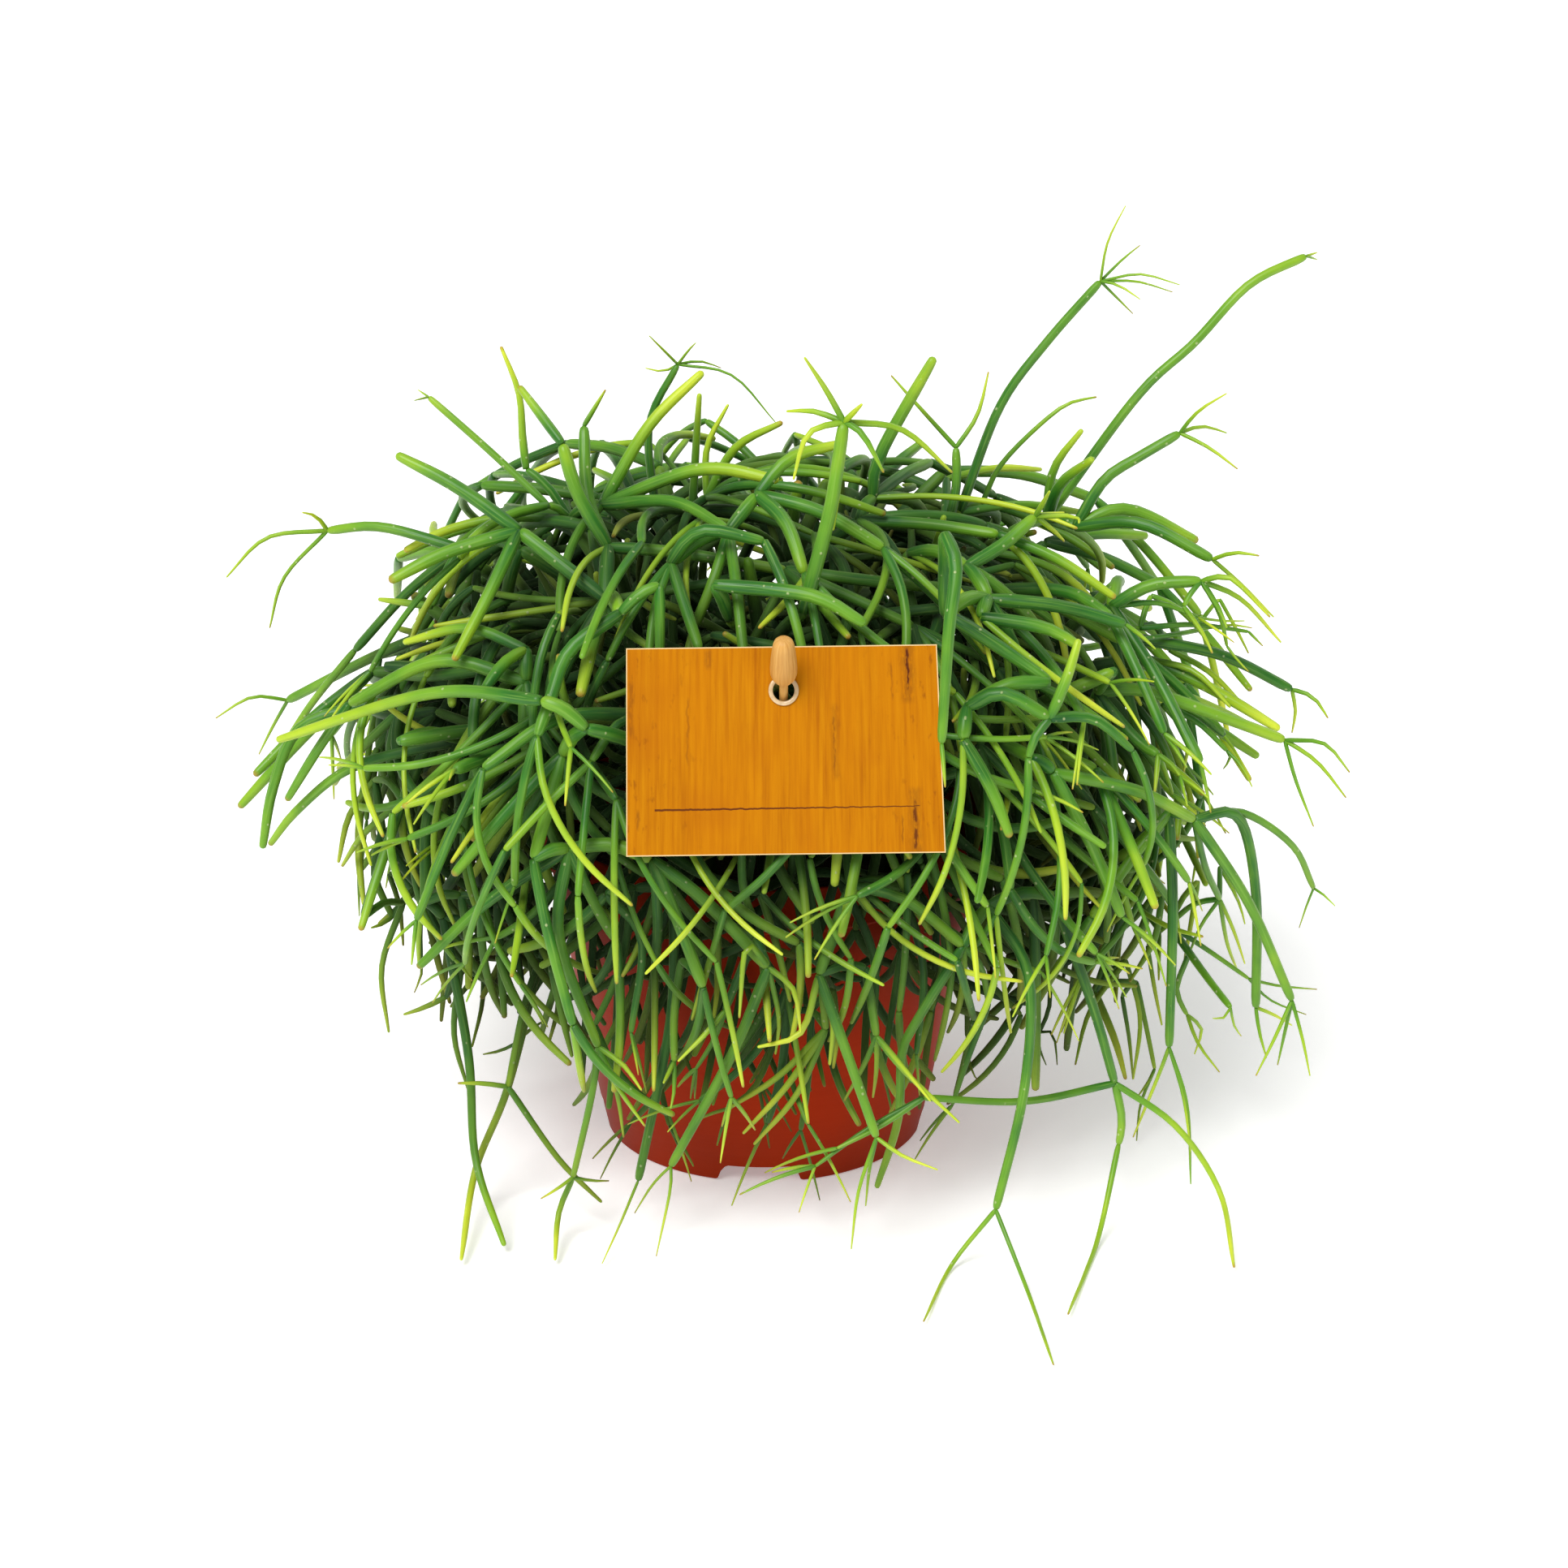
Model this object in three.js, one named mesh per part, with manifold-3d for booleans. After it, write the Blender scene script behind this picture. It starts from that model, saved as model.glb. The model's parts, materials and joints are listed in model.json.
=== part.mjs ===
// A mistletoe cactus in its nursery pot: sixteen rooted cuttings, each one branching solid, arch over the rim
// of a thin plastic pot. A wooden pin through an eyelet holds a small label card in front of them.
// Millimetres, +Z up, origin on the surface under the middle of the pot.
import * as THREE from "three";
import { ConvexHull } from "three/addons/math/ConvexHull.js";
import { mergeVertices } from "three/addons/utils/BufferGeometryUtils.js";
import Module from "manifold-3d";

const wasm = await Module();
wasm.setup();

// ---------------------------------------------------------------- driving dimensions

const GAP = 0.3; // between pieces that touch

const POT = {
  height: 92,
  rimRadius: 60,
  bandHeight: 13,
  footRadius: 43.5,
  taper: 0.18, // growth of the radius for each millimetre of height
  wall: 1.3,
  footHeight: 5.3,
  footWidth: 2.6,
  floor: 1.6,
  stepHeight: 9, // of the ring line near the foot
  stepOut: 0.4, // how far the wall stands out above that line
  edge: 0.6, // rounding of the rim
  corner: 1.5, // bevel between the wall and the floor inside
  around: 36,
};
const NOTCH = { count: 4, topWidth: 17.6, bottomWidth: 21.6, height: 5, turn: -1.7 }; // turn in degrees
const DRAIN = { count: 8, radius: 2.4, pitchRadius: 33, around: 10 };
const SOIL = { top: 80, dome: 2, edge: 4, shoulder: 1.5, pitDepth: 22, pitSides: 8 };

// The card leans back; x, y and z are its middle.
const CARD = {
  width: 78.6,
  height: 52,
  thick: 0.5,
  lean: 20,
  x: 5.3,
  y: -82,
  z: 139.4,
  holeUp: 15, // from its middle to its hole
  holeRadius: 3.35,
};
const EYELET = { outer: 3.8, inner: 2.7, barrel: 3.05, flange: 0.3, around: 20 };
// The pin leans towards the viewer; its ends are measured from the eyelet's middle.
const PIN = {
  lean: 25,
  above: 19,
  below: 98,
  shaft: 1.1,
  point: 6,
  pointRadius: 0.4,
  topRadius: 0.6,
  sides: 10,
};
// Radius of the pin's head against the distance from the eyelet's middle.
const PIN_HEAD = [
  [2.7, 1.1],
  [3.2, 1.7],
  [5.6, 3.3],
  [8, 3.45],
  [15.5, 2.7],
  [18.2, 1.7],
];

const REACH = 153; // the plant's half width
const TALLEST = 256;
const CLEAR = 0.45; // least space between two stems that don't share a joint
const SIDES = 5; // of a thick stem's section
const THICK = 1.5; // least radius of a thick stem
const TIP_TAPER = 0.5; // of a free end's radius
const SEED = 20;

// ---------------------------------------------------------------- small vector helpers

const add = (a, b) => [a[0] + b[0], a[1] + b[1], a[2] + b[2]];
const sub = (a, b) => [a[0] - b[0], a[1] - b[1], a[2] - b[2]];
const mul = (a, k) => [a[0] * k, a[1] * k, a[2] * k];
const dot = (a, b) => a[0] * b[0] + a[1] * b[1] + a[2] * b[2];
const cross = (a, b) => [a[1] * b[2] - a[2] * b[1], a[2] * b[0] - a[0] * b[2], a[0] * b[1] - a[1] * b[0]];
const len = (a) => Math.sqrt(dot(a, a));
const unit = (a) => mul(a, 1 / len(a));
const mix = (a, b, t) => add(mul(a, 1 - t), mul(b, t));
const rad = (degrees) => (degrees * Math.PI) / 180;
const clamp = (x, low, high) => Math.min(high, Math.max(low, x));
const asideOf = (axis) => (Math.abs(axis[2]) < 0.9 ? [0, 0, 1] : [1, 0, 0]);

// A linear congruential generator, so that every build grows the same plant.
const RANDOM = { factor: 1664525, step: 1013904223, range: 4294967296 };
let state = SEED;
function random() {
  state = (Math.imul(RANDOM.factor, state) + RANDOM.step) >>> 0;
  return state / RANDOM.range;
}
const between = (low, high) => low + (high - low) * random();

// ---------------------------------------------------------------- solids

function solid(geometry) {
  const bare = geometry.clone();
  bare.deleteAttribute("normal");
  bare.deleteAttribute("uv");
  const merged = mergeVertices(bare, 1e-4);
  return new wasm.Manifold(
    new wasm.Mesh({
      numProp: 3,
      vertProperties: new Float32Array(merged.attributes.position.array),
      triVerts: new Uint32Array(merged.index.array),
    }),
  );
}

function geometryOf(manifold) {
  const mesh = manifold.getMesh();
  const geometry = new THREE.BufferGeometry();
  geometry.setAttribute("position", new THREE.BufferAttribute(new Float32Array(mesh.vertProperties), 3));
  geometry.setIndex(new THREE.BufferAttribute(new Uint32Array(mesh.triVerts), 1));
  geometry.computeVertexNormals();
  return geometry;
}

// A round solid about +Z from a closed outline of [radius, height] pairs.
function turned(outline, around) {
  const profile = outline.map(([r, z]) => new THREE.Vector2(r, z));
  const geometry = new THREE.LatheGeometry(profile, around);
  geometry.rotateX(Math.PI / 2);
  return solid(geometry);
}

// A closed tube along a line of points, with a radius for each.
function tube(points, radii, sides) {
  const rings = points.length;
  const positions = [];
  const indices = [];
  let tangent = unit(sub(points[1], points[0]));
  let across = unit(cross(tangent, asideOf(tangent)));
  points.forEach((point, i) => {
    const back = points[Math.max(0, i - 1)];
    const ahead = points[Math.min(rings - 1, i + 1)];
    tangent = unit(sub(ahead, back));
    across = unit(sub(across, mul(tangent, dot(across, tangent))));
    const up = cross(tangent, across);
    for (let k = 0; k < sides; k++) {
      const turn = (2 * Math.PI * k) / sides;
      const offset = add(mul(across, Math.cos(turn) * radii[i]), mul(up, Math.sin(turn) * radii[i]));
      positions.push(...add(point, offset));
    }
  });
  for (let i = 0; i + 1 < rings; i++) {
    for (let k = 0; k < sides; k++) {
      const a = i * sides + k;
      const b = i * sides + ((k + 1) % sides);
      indices.push(a, b, b + sides, a, b + sides, a + sides);
    }
  }
  const last = (rings - 1) * sides;
  for (let k = 1; k + 1 < sides; k++) {
    indices.push(0, k + 1, k);
    indices.push(last, last + k, last + k + 1);
  }
  return new wasm.Manifold(
    new wasm.Mesh({
      numProp: 3,
      vertProperties: new Float32Array(positions),
      triVerts: new Uint32Array(indices),
    }),
  );
}

// ---------------------------------------------------------------- card, eyelet and pin frame

const LEAN = rad(CARD.lean);
const cardUp = [0, Math.sin(LEAN), Math.cos(LEAN)];
const cardOut = [0, -Math.cos(LEAN), Math.sin(LEAN)];
const cardMiddle = [CARD.x, CARD.y, CARD.z];
const hole = add(cardMiddle, mul(cardUp, CARD.holeUp));
const pinUp = [0, -Math.sin(rad(PIN.lean)), Math.cos(rad(PIN.lean))];
const onPin = (t) => add(hole, mul(pinUp, t));

// ---------------------------------------------------------------- the stems' space

// A stem is a line of points with a radius at each end. Its spans are kept to measure the space between
// stems.
const stems = [];
const spans = [];

// The least distance between two straight spans.
function spanDistance(p1, q1, p2, q2) {
  const d1 = sub(q1, p1);
  const d2 = sub(q2, p2);
  const r = sub(p1, p2);
  const a = dot(d1, d1);
  const e = dot(d2, d2);
  const f = dot(d2, r);
  const c = dot(d1, r);
  const b = dot(d1, d2);
  const denominator = a * e - b * b;
  let s = denominator > 1e-9 ? clamp((b * f - c * e) / denominator, 0, 1) : 0;
  let t = (b * s + f) / e;
  if (t < 0) {
    t = 0;
    s = clamp(-c / a, 0, 1);
  } else if (t > 1) {
    t = 1;
    s = clamp((b - c) / a, 0, 1);
  }
  return len(sub(add(p1, mul(d1, s)), add(p2, mul(d2, t))));
}

const bandFoot = POT.height - POT.bandHeight;
const outerAt = (z) => POT.footRadius + POT.taper * z;
const potRadiusAt = (z) => (z > bandFoot ? POT.rimRadius : outerAt(z) + POT.stepOut);
const AROUND_POT = 1; // least space between a stem and the pot

// The front view that the shoots below are drawn in: u to the right and v up, on a plane through the origin
// tipped back by FRONT.tilt, as seen from FRONT.eye.
const FRONT = { tilt: 21.7, eye: [5.4, -1171, 564] };
const CARD_MIDDLE_V = 100; // height of the card's middle in the front view
const FRONT_UP = [0, Math.sin(rad(FRONT.tilt)), Math.cos(rad(FRONT.tilt))];
const FRONT_IN = [0, Math.cos(rad(FRONT.tilt)), -Math.sin(rad(FRONT.tilt))];

function fromFront(u, v, y) {
  const drawn = [u, v * FRONT_UP[1], v * FRONT_UP[2]];
  const t = (y - FRONT.eye[1]) / (drawn[1] - FRONT.eye[1]);
  return add(FRONT.eye, mul(sub(drawn, FRONT.eye), t));
}

function toFront(point) {
  const ray = sub(point, FRONT.eye);
  const t = -dot(FRONT.eye, FRONT_IN) / dot(ray, FRONT_IN);
  const drawn = add(FRONT.eye, mul(ray, t));
  return [drawn[0], dot(drawn, FRONT_UP)];
}

// The height that undrawn stems keep above, against their distance from the pot's axis, so that the crown
// hangs like a skirt and leaves the pot's lower half in sight.
const SKIRT = [
  [60, 34],
  [72, 24],
  [90, 26],
  [102, 48],
  [118, 66],
  [140, 82],
  [160, 96],
];
const WINDOW = { halfWidth: 48, v: 28 }; // the part of the front view below v shows the pot

function skirtAt(out) {
  let i = 1;
  while (i + 1 < SKIRT.length && SKIRT[i][0] < out) i++;
  const t = (out - SKIRT[i - 1][0]) / (SKIRT[i][0] - SKIRT[i - 1][0]);
  return SKIRT[i - 1][1] + (SKIRT[i][1] - SKIRT[i - 1][1]) * t;
}

// The crown's outline is a dome, flatter in front, where the card leans on it.
const DOME = { radius: 149, front: 106, base: 75, top: 112, power: 2.4 };
const domeOut = (p) => Math.hypot(p[0], p[1] < 0 ? (p[1] * DOME.radius) / DOME.front : p[1]);

function underDome(p) {
  if (p[2] < DOME.base) return domeOut(p) < DOME.radius;
  const out = Math.pow(domeOut(p) / DOME.radius, DOME.power);
  return out + Math.pow((p[2] - DOME.base) / DOME.top, DOME.power) < 1;
}

// Whether a point of a stem of radius r is clear of the pot, the soil, the surface and the outer box.
function inBounds(p, r, rooted) {
  if (Math.abs(p[0]) > REACH - r || Math.abs(p[1]) > REACH - r) return false;
  if (p[2] > TALLEST - r || p[2] < r + GAP) return false;
  if (rooted) return true;
  const keep = r + AROUND_POT;
  return p[2] >= POT.height + keep || Math.hypot(p[0], p[1]) >= potRadiusAt(p[2]) + keep;
}

// Undrawn stems also keep under the dome, above the skirt and out of the front of the card and of the pot.
const CARD_MARGIN = { side: 5, top: 4, behind: 2 };
function inCrown(p) {
  if (!underDome(p) || p[2] < skirtAt(domeOut(p))) return false;
  if (p[1] > 0) return true;
  const [u, v] = toFront(p);
  if (Math.abs(u) < WINDOW.halfWidth && v < WINDOW.v) return false;
  const overCard =
    Math.abs(u - CARD.x) < CARD.width / 2 + CARD_MARGIN.side &&
    Math.abs(v - CARD_MIDDLE_V) < CARD.height / 2 + CARD_MARGIN.top;
  return !(overCard && dot(sub(p, cardMiddle), cardOut) > -CARD_MARGIN.behind);
}

function isClear(points, r, skip) {
  for (let i = 0; i + 1 < points.length; i++) {
    for (const span of spans) {
      if (skip.has(span.stem)) continue;
      const least = r + span.r + CLEAR;
      if (
        Math.min(points[i][0], points[i + 1][0]) - least > Math.max(span.a[0], span.b[0]) ||
        Math.max(points[i][0], points[i + 1][0]) + least < Math.min(span.a[0], span.b[0]) ||
        Math.min(points[i][2], points[i + 1][2]) - least > Math.max(span.a[2], span.b[2]) ||
        Math.max(points[i][2], points[i + 1][2]) + least < Math.min(span.a[2], span.b[2])
      ) {
        continue;
      }
      if (spanDistance(points[i], points[i + 1], span.a, span.b) < least) return false;
    }
  }
  return true;
}

function addStem(stem) {
  const id = stems.length;
  const r = Math.max(...stem.radii);
  stem.id = id;
  stem.children = [];
  stems.push(stem);
  for (let i = 0; i + 1 < stem.points.length; i++) {
    spans.push({ a: stem.points[i], b: stem.points[i + 1], r, stem: id });
  }
  if (stem.parent) stem.parent.children.push(stem);
  return stem;
}

const endOf = (stem) => stem.points[stem.points.length - 1];
const endDirection = (stem) => unit(sub(endOf(stem), stem.points[stem.points.length - 2]));

// The stems that meet at a stem's far joint: those may touch a new stem there.
const family = (stem) => new Set([stem.id, ...stem.children.map((child) => child.id)]);

// Keeps the stems off the card and the pin: bars across the card, and the pin's length.
const CARD_BARS = 13;
const CARD_KEEP = 2.4;
const PIN_SPARE = 0.6;
const PIN_HEAD_KEEP = 3.8;
const NO_STEM = -1;
for (let i = 0; i < CARD_BARS; i++) {
  const up = (i / (CARD_BARS - 1) - 0.5) * CARD.height;
  const middle = add(cardMiddle, mul(cardUp, up));
  const half = [CARD.width / 2, 0, 0];
  spans.push({ a: sub(middle, half), b: add(middle, half), r: CARD_KEEP, stem: NO_STEM });
}
spans.push({ a: onPin(-PIN.below), b: onPin(0), r: PIN.shaft + PIN_SPARE, stem: NO_STEM });
spans.push({ a: onPin(2), b: onPin(PIN.above + 1), r: PIN_HEAD_KEEP, stem: NO_STEM });

// ---------------------------------------------------------------- rooted bases

// Each cutting is rooted at a radius and a bearing, leans outwards and ends in its first joint.
const BASE = { straight: 10, bow: 3, thinning: 0.2 };
const RINGS = [
  { count: 10, radius: 38, lean: 30, rise: 52, turn: 0, r: 2.3 },
  { count: 5, radius: 18, lean: 12, rise: 66, turn: 54, r: 2.4 },
  { count: 1, radius: 0, lean: 2, rise: 74, turn: 0, r: 2.4 },
];
const bases = [];
for (const ring of RINGS) {
  for (let i = 0; i < ring.count; i++) {
    const bearing = rad(ring.turn + (360 * i) / ring.count);
    const out = [Math.cos(bearing), Math.sin(bearing), 0];
    const direction = add(mul(out, Math.sin(rad(ring.lean))), [0, 0, Math.cos(rad(ring.lean))]);
    const foot = add(mul(out, ring.radius), [0, 0, SOIL.top]);
    const points = [
      add(foot, mul(direction, SOIL.dome - SOIL.pitDepth)),
      add(foot, mul(direction, BASE.straight)),
      add(add(foot, mul(direction, ring.rise)), mul(out, BASE.bow)),
    ];
    const radii = [ring.r, ring.r - BASE.thinning];
    bases.push(addStem({ points, radii, cutting: bases.length, parent: null, rooted: true }));
  }
}

// ---------------------------------------------------------------- growth

// Where a stem tends to grow: up inside the clump, outwards over its top and down on its outside.
const EDDY = { radius: 72, height: 98 };
function flow(p) {
  const out = Math.hypot(p[0], p[1]) || 1;
  const dr = out - EDDY.radius;
  const dz = p[2] - EDDY.height;
  const size = Math.hypot(dr, dz) || 1;
  return [(p[0] / out) * (dz / size), (p[1] / out) * (dz / size), -dr / size];
}

function aroundAxis(axis, angle, turn) {
  const across = unit(cross(axis, asideOf(axis)));
  const up = cross(axis, across);
  const ring = add(mul(across, Math.cos(turn)), mul(up, Math.sin(turn)));
  return add(mul(axis, Math.cos(angle)), mul(ring, Math.sin(angle)));
}

// One arching stem from a joint: a bend of `count` spans that sags towards the ground.
function arch(from, direction, length, sag, count) {
  const middle = add(from, mul(direction, length * 0.5));
  const end = add(add(from, mul(direction, length)), [0, 0, -length * sag]);
  const points = [];
  for (let i = 0; i <= count; i++) {
    const t = i / count;
    points.push(add(add(mul(from, (1 - t) * (1 - t)), mul(middle, 2 * t * (1 - t))), mul(end, t * t)));
  }
  return points;
}

const leaving = (points) => unit(sub(points[1], points[0]));

// Adds a grown stem where it has room, doesn't fold back on its parent and is clear of its siblings' ways.
const GROWTH = { spans: 2, leastSag: 0.05, mostSag: 0.28, mostAlike: 0.9, mostBack: -0.35 };
function tryStem(parent, direction, length, radii) {
  const sag = between(GROWTH.leastSag, GROWTH.mostSag);
  const points = arch(endOf(parent), direction, length, sag, GROWTH.spans);
  const r = radii[0];
  for (let i = 1; i < points.length; i++) {
    const halfway = mix(points[i - 1], points[i], 0.5);
    for (const p of [points[i], halfway]) {
      if (!inBounds(p, r, false) || !inCrown(p)) return null;
    }
  }
  if (!isClear(points, r, family(parent))) return null;
  const way = leaving(points);
  if (parent.children.some((sibling) => dot(way, leaving(sibling.points)) > GROWTH.mostAlike)) return null;
  if (dot(way, endDirection(parent)) < GROWTH.mostBack) return null;
  return addStem({ points, radii, cutting: parent.cutting, parent });
}

// Tries to grow a stem from its parent's end: a turn off the parent's line, drawn towards the clump's flow.
function grow(parent, habit, radii) {
  for (let i = 0; i < habit.tries; i++) {
    const angle = rad(between(habit.spread[0], habit.spread[1]));
    const cone = aroundAxis(endDirection(parent), angle, between(0, 2 * Math.PI));
    const direction = unit(add(mul(cone, 1 - habit.drift), mul(flow(endOf(parent)), habit.drift)));
    if (tryStem(parent, direction, between(habit.length[0], habit.length[1]), radii)) return;
  }
}

// ---------------------------------------------------------------- drawn shoots

// The shoots that give the plant its outline and its face, drawn in the front view. `line` runs through
// [u, v] points, `y` is the depth at its two ends and `r` its radius there. `tips` are the young shoots at
// its end, each to [u, v] or through a middle point, [u, v, u, v].
const SHOOTS = [
  // Crown, from left to right.
  { line: [[-44, 142], [-68, 161]], y: [-42, -30], r: [2.3, 2.2] },
  { line: [[-68, 161], [-85, 173], [-102, 182]], y: [-30, -18], r: [2.2, 1.8] },
  { line: [[-68, 161], [-88, 155], [-104, 147]], y: [-30, -40], r: [2.1, 1.9] },
  { line: [[-68, 161], [-76, 144], [-86, 125]], y: [-30, -56], r: [2.1, 1.6] },
  { line: [[-43, 153], [-52, 172], [-56, 185]], y: [-40, -20], r: [2.3, 2.0] },
  { line: [[-45, 154], [-49, 170], [-50, 190]], y: [-26, -6], r: [2.2, 1.7], tips: [[-44, 200]], tipR: 0.9 },
  { line: [[-66, 178], [-67, 187], [-68, 199], [-73, 212]], y: [4, 10], r: [1.4, 0.7] },
  { line: [[-56, 185], [-68, 201]], y: [-20, -8], r: [1.6, 1.3] },
  { line: [[-60, 168], [-76, 183], [-93, 198]], y: [0, 14], r: [1.2, 1.1],
    tips: [[-97, 197], [-96, 200]], tipR: 0.4 },
  { line: [[-30, 165], [-32, 190], [-24, 207]], y: [18, 24], r: [1.4, 1.1],
    tips: [[-28, 211, -32, 215], [-28, 205, -33, 206], [-21, 211, -19, 213], [-18, 208, -12, 206],
      [-9, 204, 3, 191]], tipR: 0.5 },
  { line: [[-45, 168], [-32, 190], [-17, 205]], y: [-8, 2], r: [2.0, 1.6] },
  { line: [[-20, 166], [-19, 184], [-18, 199]], y: [10, 10], r: [1.4, 1.0] },
  { line: [[-16, 170], [-16, 184], [-10, 196]], y: [2, 4], r: [1.2, 0.8] },
  { line: [[-20, 172], [-8, 184], [5, 191]], y: [-6, -4], r: [1.6, 1.1] },
  { line: [[-46, 172], [-18, 178], [4, 175]], y: [-18, -24], r: [2.1, 1.9] },
  { line: [[-42, 164], [-25, 169], [-10, 161]], y: [-28, -38], r: [2.0, 1.7] },
  { line: [[-12, 160], [-2, 171]], y: [-34, -32], r: [2.1, 2.0] },
  { line: [[-2, 171], [6, 163], [11, 149]], y: [-32, -52], r: [2.3, 1.8] },
  { line: [[-2, 171], [7, 181], [21, 185]], y: [-32, -22], r: [2.0, 1.7] },
  { line: [[-2, 171], [16, 166], [33, 156]], y: [-32, -42], r: [2.1, 1.9] },
  { line: [[-26, 152], [-18, 161], [0, 158]], y: [-46, -50], r: [2.2, 1.6] },
  { line: [[-42, 152], [-25, 155], [6, 150]], y: [-48, -54], r: [1.9, 1.6] },
  { line: [[11, 143], [18, 166], [22, 191]], y: [-40, -34], r: [2.3, 1.9],
    tips: [[17, 200, 11, 209], [14, 194, 6, 194], [12, 188, 8, 175], [21, 178, 19, 161], [27, 188, 33, 177],
      [38, 189, 52, 177], [25, 194, 27, 196]], tipR: 1.1 },
  { line: [[30, 170], [32, 182], [47, 209]], y: [-4, -2], r: [2.0, 1.8] },
  { line: [[50, 160], [53, 172], [53, 184]], y: [-2, 4], r: [1.6, 1.3],
    tips: [[43, 195, 35, 204], [59, 193, 62, 205]], tipR: 0.8 },
  { line: [[54, 166], [65, 195], [78, 213], [93, 230]], y: [4, 14], r: [1.5, 1.3],
    tips: [[95, 241, 100, 251], [99, 236, 104, 240], [104, 232, 115, 229], [103, 230, 113, 227],
      [98, 229, 104, 225], [97, 226, 102, 221]], tipR: 0.5 },
  { line: [[60, 168], [66, 180], [82, 195], [92, 198]], y: [10, 16], r: [1.0, 0.6] },
  { line: [[78, 164], [103, 198], [119, 213], [134, 229], [150, 237]], y: [8, 26], r: [1.6, 1.4],
    tips: [[153, 238], [153, 236]], tipR: 0.5 },
  { line: [[76, 166], [80, 178], [88, 189]], y: [0, 6], r: [1.6, 1.1] },
  { line: [[76, 160], [82, 174], [91, 181]], y: [-10, -6], r: [2.0, 1.4] },
  { line: [[86, 162], [94, 175], [103, 181], [115, 188]], y: [-4, 2], r: [1.8, 1.5],
    tips: [[120, 194, 128, 199], [121, 190, 128, 188], [123, 184, 131, 178]], tipR: 0.7 },
  { line: [[56, 151], [66, 157], [75, 165]], y: [-38, -28], r: [2.1, 1.9],
    tips: [[79, 172], [83, 166], [86, 165, 87, 163], [80, 161, 83, 158]], tipR: 1.0 },
  // Right side.
  { line: [[86, 158], [100, 167], [120, 158]], y: [-2, 0], r: [2.0, 1.8] },
  { line: [[84, 158], [104, 163], [124, 153]], y: [-16, -18], r: [2.0, 1.7],
    tips: [[130, 155, 137, 154], [132, 146, 141, 137]], tipR: 0.8 },
  { line: [[96, 140], [107, 146], [121, 147]], y: [-26, -28], r: [2.0, 1.8],
    tips: [[129, 148, 140, 137], [132, 142, 143, 130], [126, 139, 128, 134]], tipR: 1.0 },
  { line: [[64, 147], [84, 144], [96, 137]], y: [-40, -40], r: [2.2, 1.8] },
  { line: [[62, 142], [82, 140], [100, 135]], y: [-48, -48], r: [2.2, 1.8] },
  { line: [[50, 138], [60, 132], [72, 124], [79, 119]], y: [-62, -70], r: [2.2, 1.8] },
  { line: [[60, 137], [78, 134], [87, 129]], y: [-58, -62], r: [2.2, 1.8] },
  { line: [[96, 132], [125, 127], [146, 117]], y: [-18, -12], r: [1.9, 1.6],
    tips: [[152, 115, 156, 109], [147, 111, 146, 105]], tipR: 0.8 },
  { line: [[92, 116], [104, 117], [125, 110], [144, 103]], y: [-42, -36], r: [2.1, 1.7],
    tips: [[155, 102, 162, 94], [153, 97, 161, 87], [147, 92, 152, 79]], tipR: 0.8 },
  { line: [[92, 116], [103, 103], [109, 99]], y: [-42, -50], r: [1.9, 1.7],
    tips: [[108, 88], [111, 94, 113, 88], [113, 96, 115, 93]], tipR: 1.0 },
  { line: [[56, 112], [66, 116], [79, 109]], y: [-74, -76], r: [2.2, 1.9] },
  { line: [[79, 109], [84, 121], [87, 131]], y: [-76, -70], r: [1.8, 1.4] },
  { line: [[79, 109], [75, 104], [73, 98]], y: [-76, -80], r: [1.6, 1.1] },
  { line: [[79, 109], [91, 109], [102, 100]], y: [-76, -70], r: [1.8, 1.2] },
  { line: [[55, 103], [63, 89], [68, 76]], y: [-80, -86], r: [2.2, 1.7] },
  { line: [[80, 94], [91, 73], [99, 54]], y: [-72, -74], r: [2.1, 1.7] },
  { line: [[82, 93], [103, 89], [119, 81]], y: [-62, -50], r: [2.0, 1.8] },
  { line: [[119, 81], [134, 58], [146, 31]], y: [-50, -44], r: [2.0, 1.6],
    tips: [[149, 20, 151, 10], [144, 22, 142, 13], [141, 20, 136, 10]], tipR: 0.8 },
  { line: [[119, 81], [131, 82], [136, 61], [136, 29]], y: [-50, -34], r: [1.9, 1.7],
    tips: [[137, 22, 139, 15], [141, 27, 146, 24]], tipR: 0.8 },
  { line: [[119, 81], [132, 83], [146, 74], [152, 62]], y: [-50, -28], r: [1.4, 1.1],
    tips: [[155, 60, 158, 57], [150, 57, 148, 51]], tipR: 0.5 },
  { line: [[112, 83], [113, 56], [112, 18]], y: [-56, -58], r: [2.0, 1.6],
    tips: [[116, 4, 118, -11], [109, 10, 102, -7], [117, 2, 118, -20]], tipR: 0.8 },
  // The stem that hangs over the card's right edge.
  { line: [[50, 160], [53, 151], [51, 133], [49, 102]], y: [-76, -96], r: [2.2, 1.4] },
  // Left side.
  { line: [[-84, 156], [-106, 162], [-121, 161]], y: [-4, 8], r: [1.7, 1.4],
    tips: [[-138, 159, -149, 148], [-133, 148, -137, 134], [-124, 165, -128, 166]], tipR: 0.8 },
  { line: [[-72, 140], [-104, 128], [-132, 114]], y: [-14, 28], r: [2.0, 1.6],
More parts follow.
